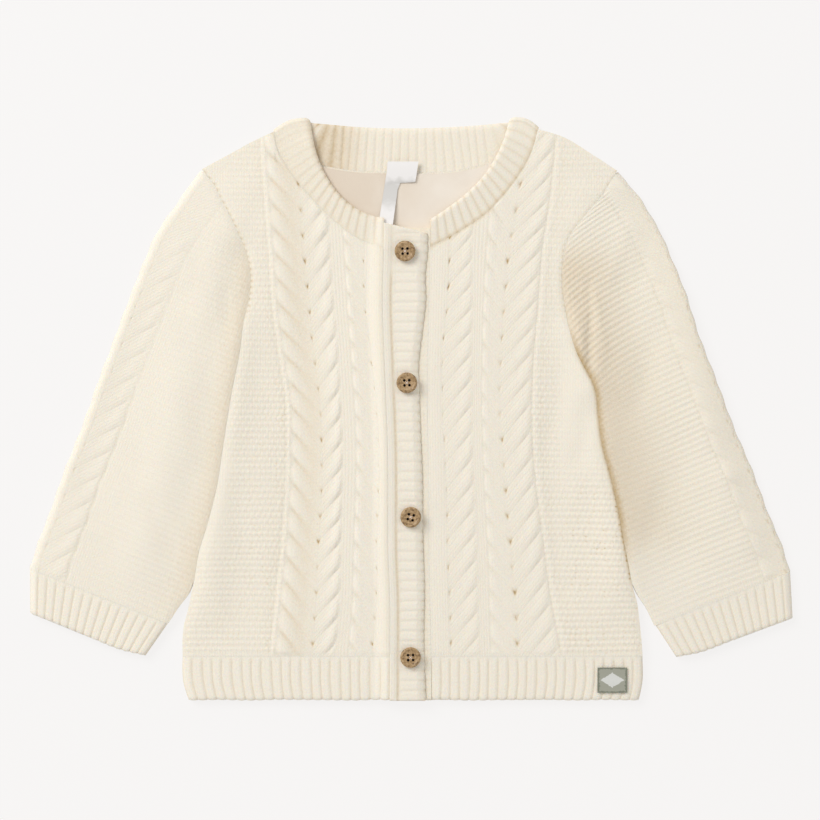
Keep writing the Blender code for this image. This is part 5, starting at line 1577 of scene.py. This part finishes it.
class CARDIGAN_OT_fronts(bpy.types.Operator):
    """Make both fronts and their ribs"""
    bl_idname = "cardigan.fronts"
    bl_label = "Fronts"

    def execute(self, context):
        sizes = context.scene.cardigan_sizes
        wool = finishes()["cream_wool"]
        for side in ("left", "right"):
            add_sheet(*build_front(side, sizes, wool), "knit_front_" + side, "front_" + side,
                      (116, 286), "laid", "knit_back")
            add_sheet(*build_hem_front(side, sizes, wool), "knit_hem_" + side, "hem_" + side,
                      (116, 24), "laid", "knit_hem_back")
        return {"FINISHED"}


class CARDIGAN_OT_bands(bpy.types.Operator):
    """Make the two front bands"""
    bl_idname = "cardigan.bands"
    bl_label = "Front bands"

    def execute(self, context):
        wool = finishes()["cream_wool"]
        add_sheet(*build_band_button(wool), "knit_band_button", "band_button", (24, 257),
                  "laid", "knit_back")
        add_sheet(*build_band_buttonhole(context.scene.cardigan_sizes, wool),
                  "knit_band_buttonhole", "band_buttonhole", (21, 260), "laid",
                  "knit_band_button")
        return {"FINISHED"}


class CARDIGAN_OT_sleeves(bpy.types.Operator):
    """Make both sleeves and cuffs"""
    bl_idname = "cardigan.sleeves"
    bl_label = "Sleeves"

    def execute(self, context):
        sizes = context.scene.cardigan_sizes
        wool = finishes()["cream_wool"]
        for side in ("left", "right"):
            add_sheet(*build_sleeve(side, sizes, wool), "knit_sleeve_" + side,
                      "sleeve_" + side, (170, 240), "folded", "floor")
            add_sheet(*build_cuff(side, sizes, wool), "knit_cuff_" + side, "cuff_" + side,
                      (162, 24), "folded", "floor")
        return {"FINISHED"}


class CARDIGAN_OT_neck(bpy.types.Operator):
    """Make the neckband and the lining"""
    bl_idname = "cardigan.neck"
    bl_label = "Neck"

    def execute(self, context):
        found = finishes()
        add_sheet(*build_neckband(context.scene.cardigan_sizes, found["cream_wool"]),
                  "knit_neckband", "neckband", (330, 20), "folded", "floor")
        add_sheet(*build_lining(found["cream_jersey"]), "jersey_lining", "lining_back",
                  (96, 36), "laid", "knit_back", "jersey_cream")
        return {"FINISHED"}


class CARDIGAN_OT_buttons(bpy.types.Operator):
    """Make the four buttons and their thread"""
    bl_idname = "cardigan.buttons"
    bl_label = "Buttons"

    def execute(self, context):
        found = finishes()
        made = build_buttons(context.scene.cardigan_sizes, found["button_wood"],
                             found["button_hole_shade"], found["button_thread"])
        for i, (button, tie) in enumerate(made):
            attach(button, "root")
            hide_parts(f"button_{i + 1}")
            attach(tie, "root")
        return {"FINISHED"}


class CARDIGAN_OT_labels(bpy.types.Operator):
    """Make the neck label and the side label"""
    bl_idname = "cardigan.labels"
    bl_label = "Labels"

    def execute(self, context):
        found = finishes()
        low = BACK_TOP + 2 * GAP + LINING_WALL
        made = build_label("satin_label", NECK_LABEL, low, NECK_LABEL_THICKNESS,
                           neck_label_wave, found["label_satin"])
        add_sheet(made, NECK_LABEL_AREA, "satin_label", "neck_label", (22, 35), "laid",
                  "jersey_lining", "satin_white")
        low = FRONT_TOP + HEM_LABEL_LIFT + GAP
        made = build_label("woven_label", HEM_LABEL, low, HEM_LABEL_THICKNESS, hem_label_wave,
                           found["label_woven"])
        add_sheet(made, HEM_LABEL_AREA, "woven_label", "hem_label", (16, 13.6), "laid",
                  "knit_hem_right", "woven_sage")
        return {"FINISHED"}


class CARDIGAN_OT_stage(bpy.types.Operator):
    """Make the floor, the light and the camera"""
    bl_idname = "cardigan.stage"
    bl_label = "Stage"

    def execute(self, context):
        scene = context.scene
        bm = bmesh.new()
        bmesh.ops.create_grid(bm, x_segments=1, y_segments=1, size=FLOOR_SIZE)
        bmesh.ops.translate(bm, verts=bm.verts, vec=(0, 0, -FLOOR_DROP))
        look = Nodes("floor").finish((*scene.cardigan_colours.floor, 1.0),
                                     Emission_Color=(1.0, 0.985, 0.975, 1.0),
                                     Emission_Strength=FLOOR_GLOW, Roughness=1.0,
                                     Specular_IOR_Level=0.0)
        add_object("floor", new_mesh("floor", bm, look))

        world = bpy.data.worlds.new("soft_room")
        world.use_nodes = True
        room = world.node_tree.nodes["Background"]
        room.inputs["Color"].default_value = (1, 1, 1, 1)
        room.inputs["Strength"].default_value = ROOM_LIGHT
        scene.world = world
        light = bpy.data.lights.new("soft_lamp", "AREA")
        light.energy = LAMP_POWER
        light.shape = "DISK"
        light.size = LAMP_SIZE
        lamp = add_object("soft_lamp", light)
        lamp.location = LAMP_PLACE
        lamp.rotation_euler = (-lamp.location).to_track_quat("-Z", "Y").to_euler()

        camera = bpy.data.cameras.new("camera")
        camera.lens = LENS
        camera.sensor_width = SENSOR
        eye = add_object("camera", camera)
        eye.location = EYE_PLACE
        scene.camera = eye
        scene.view_settings.view_transform = "Standard"
        return {"FINISHED"}


class CARDIGAN_PT_pieces(bpy.types.Panel):
    """Lists the cardigan's pieces in the sidebar"""
    bl_label = "Cardigan"
    bl_idname = "CARDIGAN_PT_pieces"
    bl_space_type = "VIEW_3D"
    bl_region_type = "UI"
    bl_category = "Cardigan"

    def draw(self, context):
        for group in (context.scene.cardigan_sizes, context.scene.cardigan_colours):
            for name in group.__annotations__:
                self.layout.prop(group, name)
        for piece in PIECES:
            self.layout.operator(piece.bl_idname)


PIECES = (CARDIGAN_OT_back, CARDIGAN_OT_fronts, CARDIGAN_OT_bands, CARDIGAN_OT_sleeves,
          CARDIGAN_OT_neck, CARDIGAN_OT_buttons, CARDIGAN_OT_labels, CARDIGAN_OT_stage)
CLASSES = (CardiganSizes, CardiganColours) + PIECES + (CARDIGAN_PT_pieces,)


def register():
    for one in CLASSES:
        bpy.utils.register_class(one)
    bpy.types.Scene.cardigan_sizes = bpy.props.PointerProperty(type=CardiganSizes)
    bpy.types.Scene.cardigan_colours = bpy.props.PointerProperty(type=CardiganColours)


def unregister():
    del bpy.types.Scene.cardigan_colours
    del bpy.types.Scene.cardigan_sizes
    for one in reversed(CLASSES):
        bpy.utils.unregister_class(one)


def main():
    register()
    bpy.ops.cardigan.stage()
    bpy.ops.cardigan.back()
    bpy.ops.cardigan.fronts()
    bpy.ops.cardigan.bands()
    bpy.ops.cardigan.sleeves()
    bpy.ops.cardigan.neck()
    bpy.ops.cardigan.buttons()
    bpy.ops.cardigan.labels()


if __name__ == "__main__":
    main()
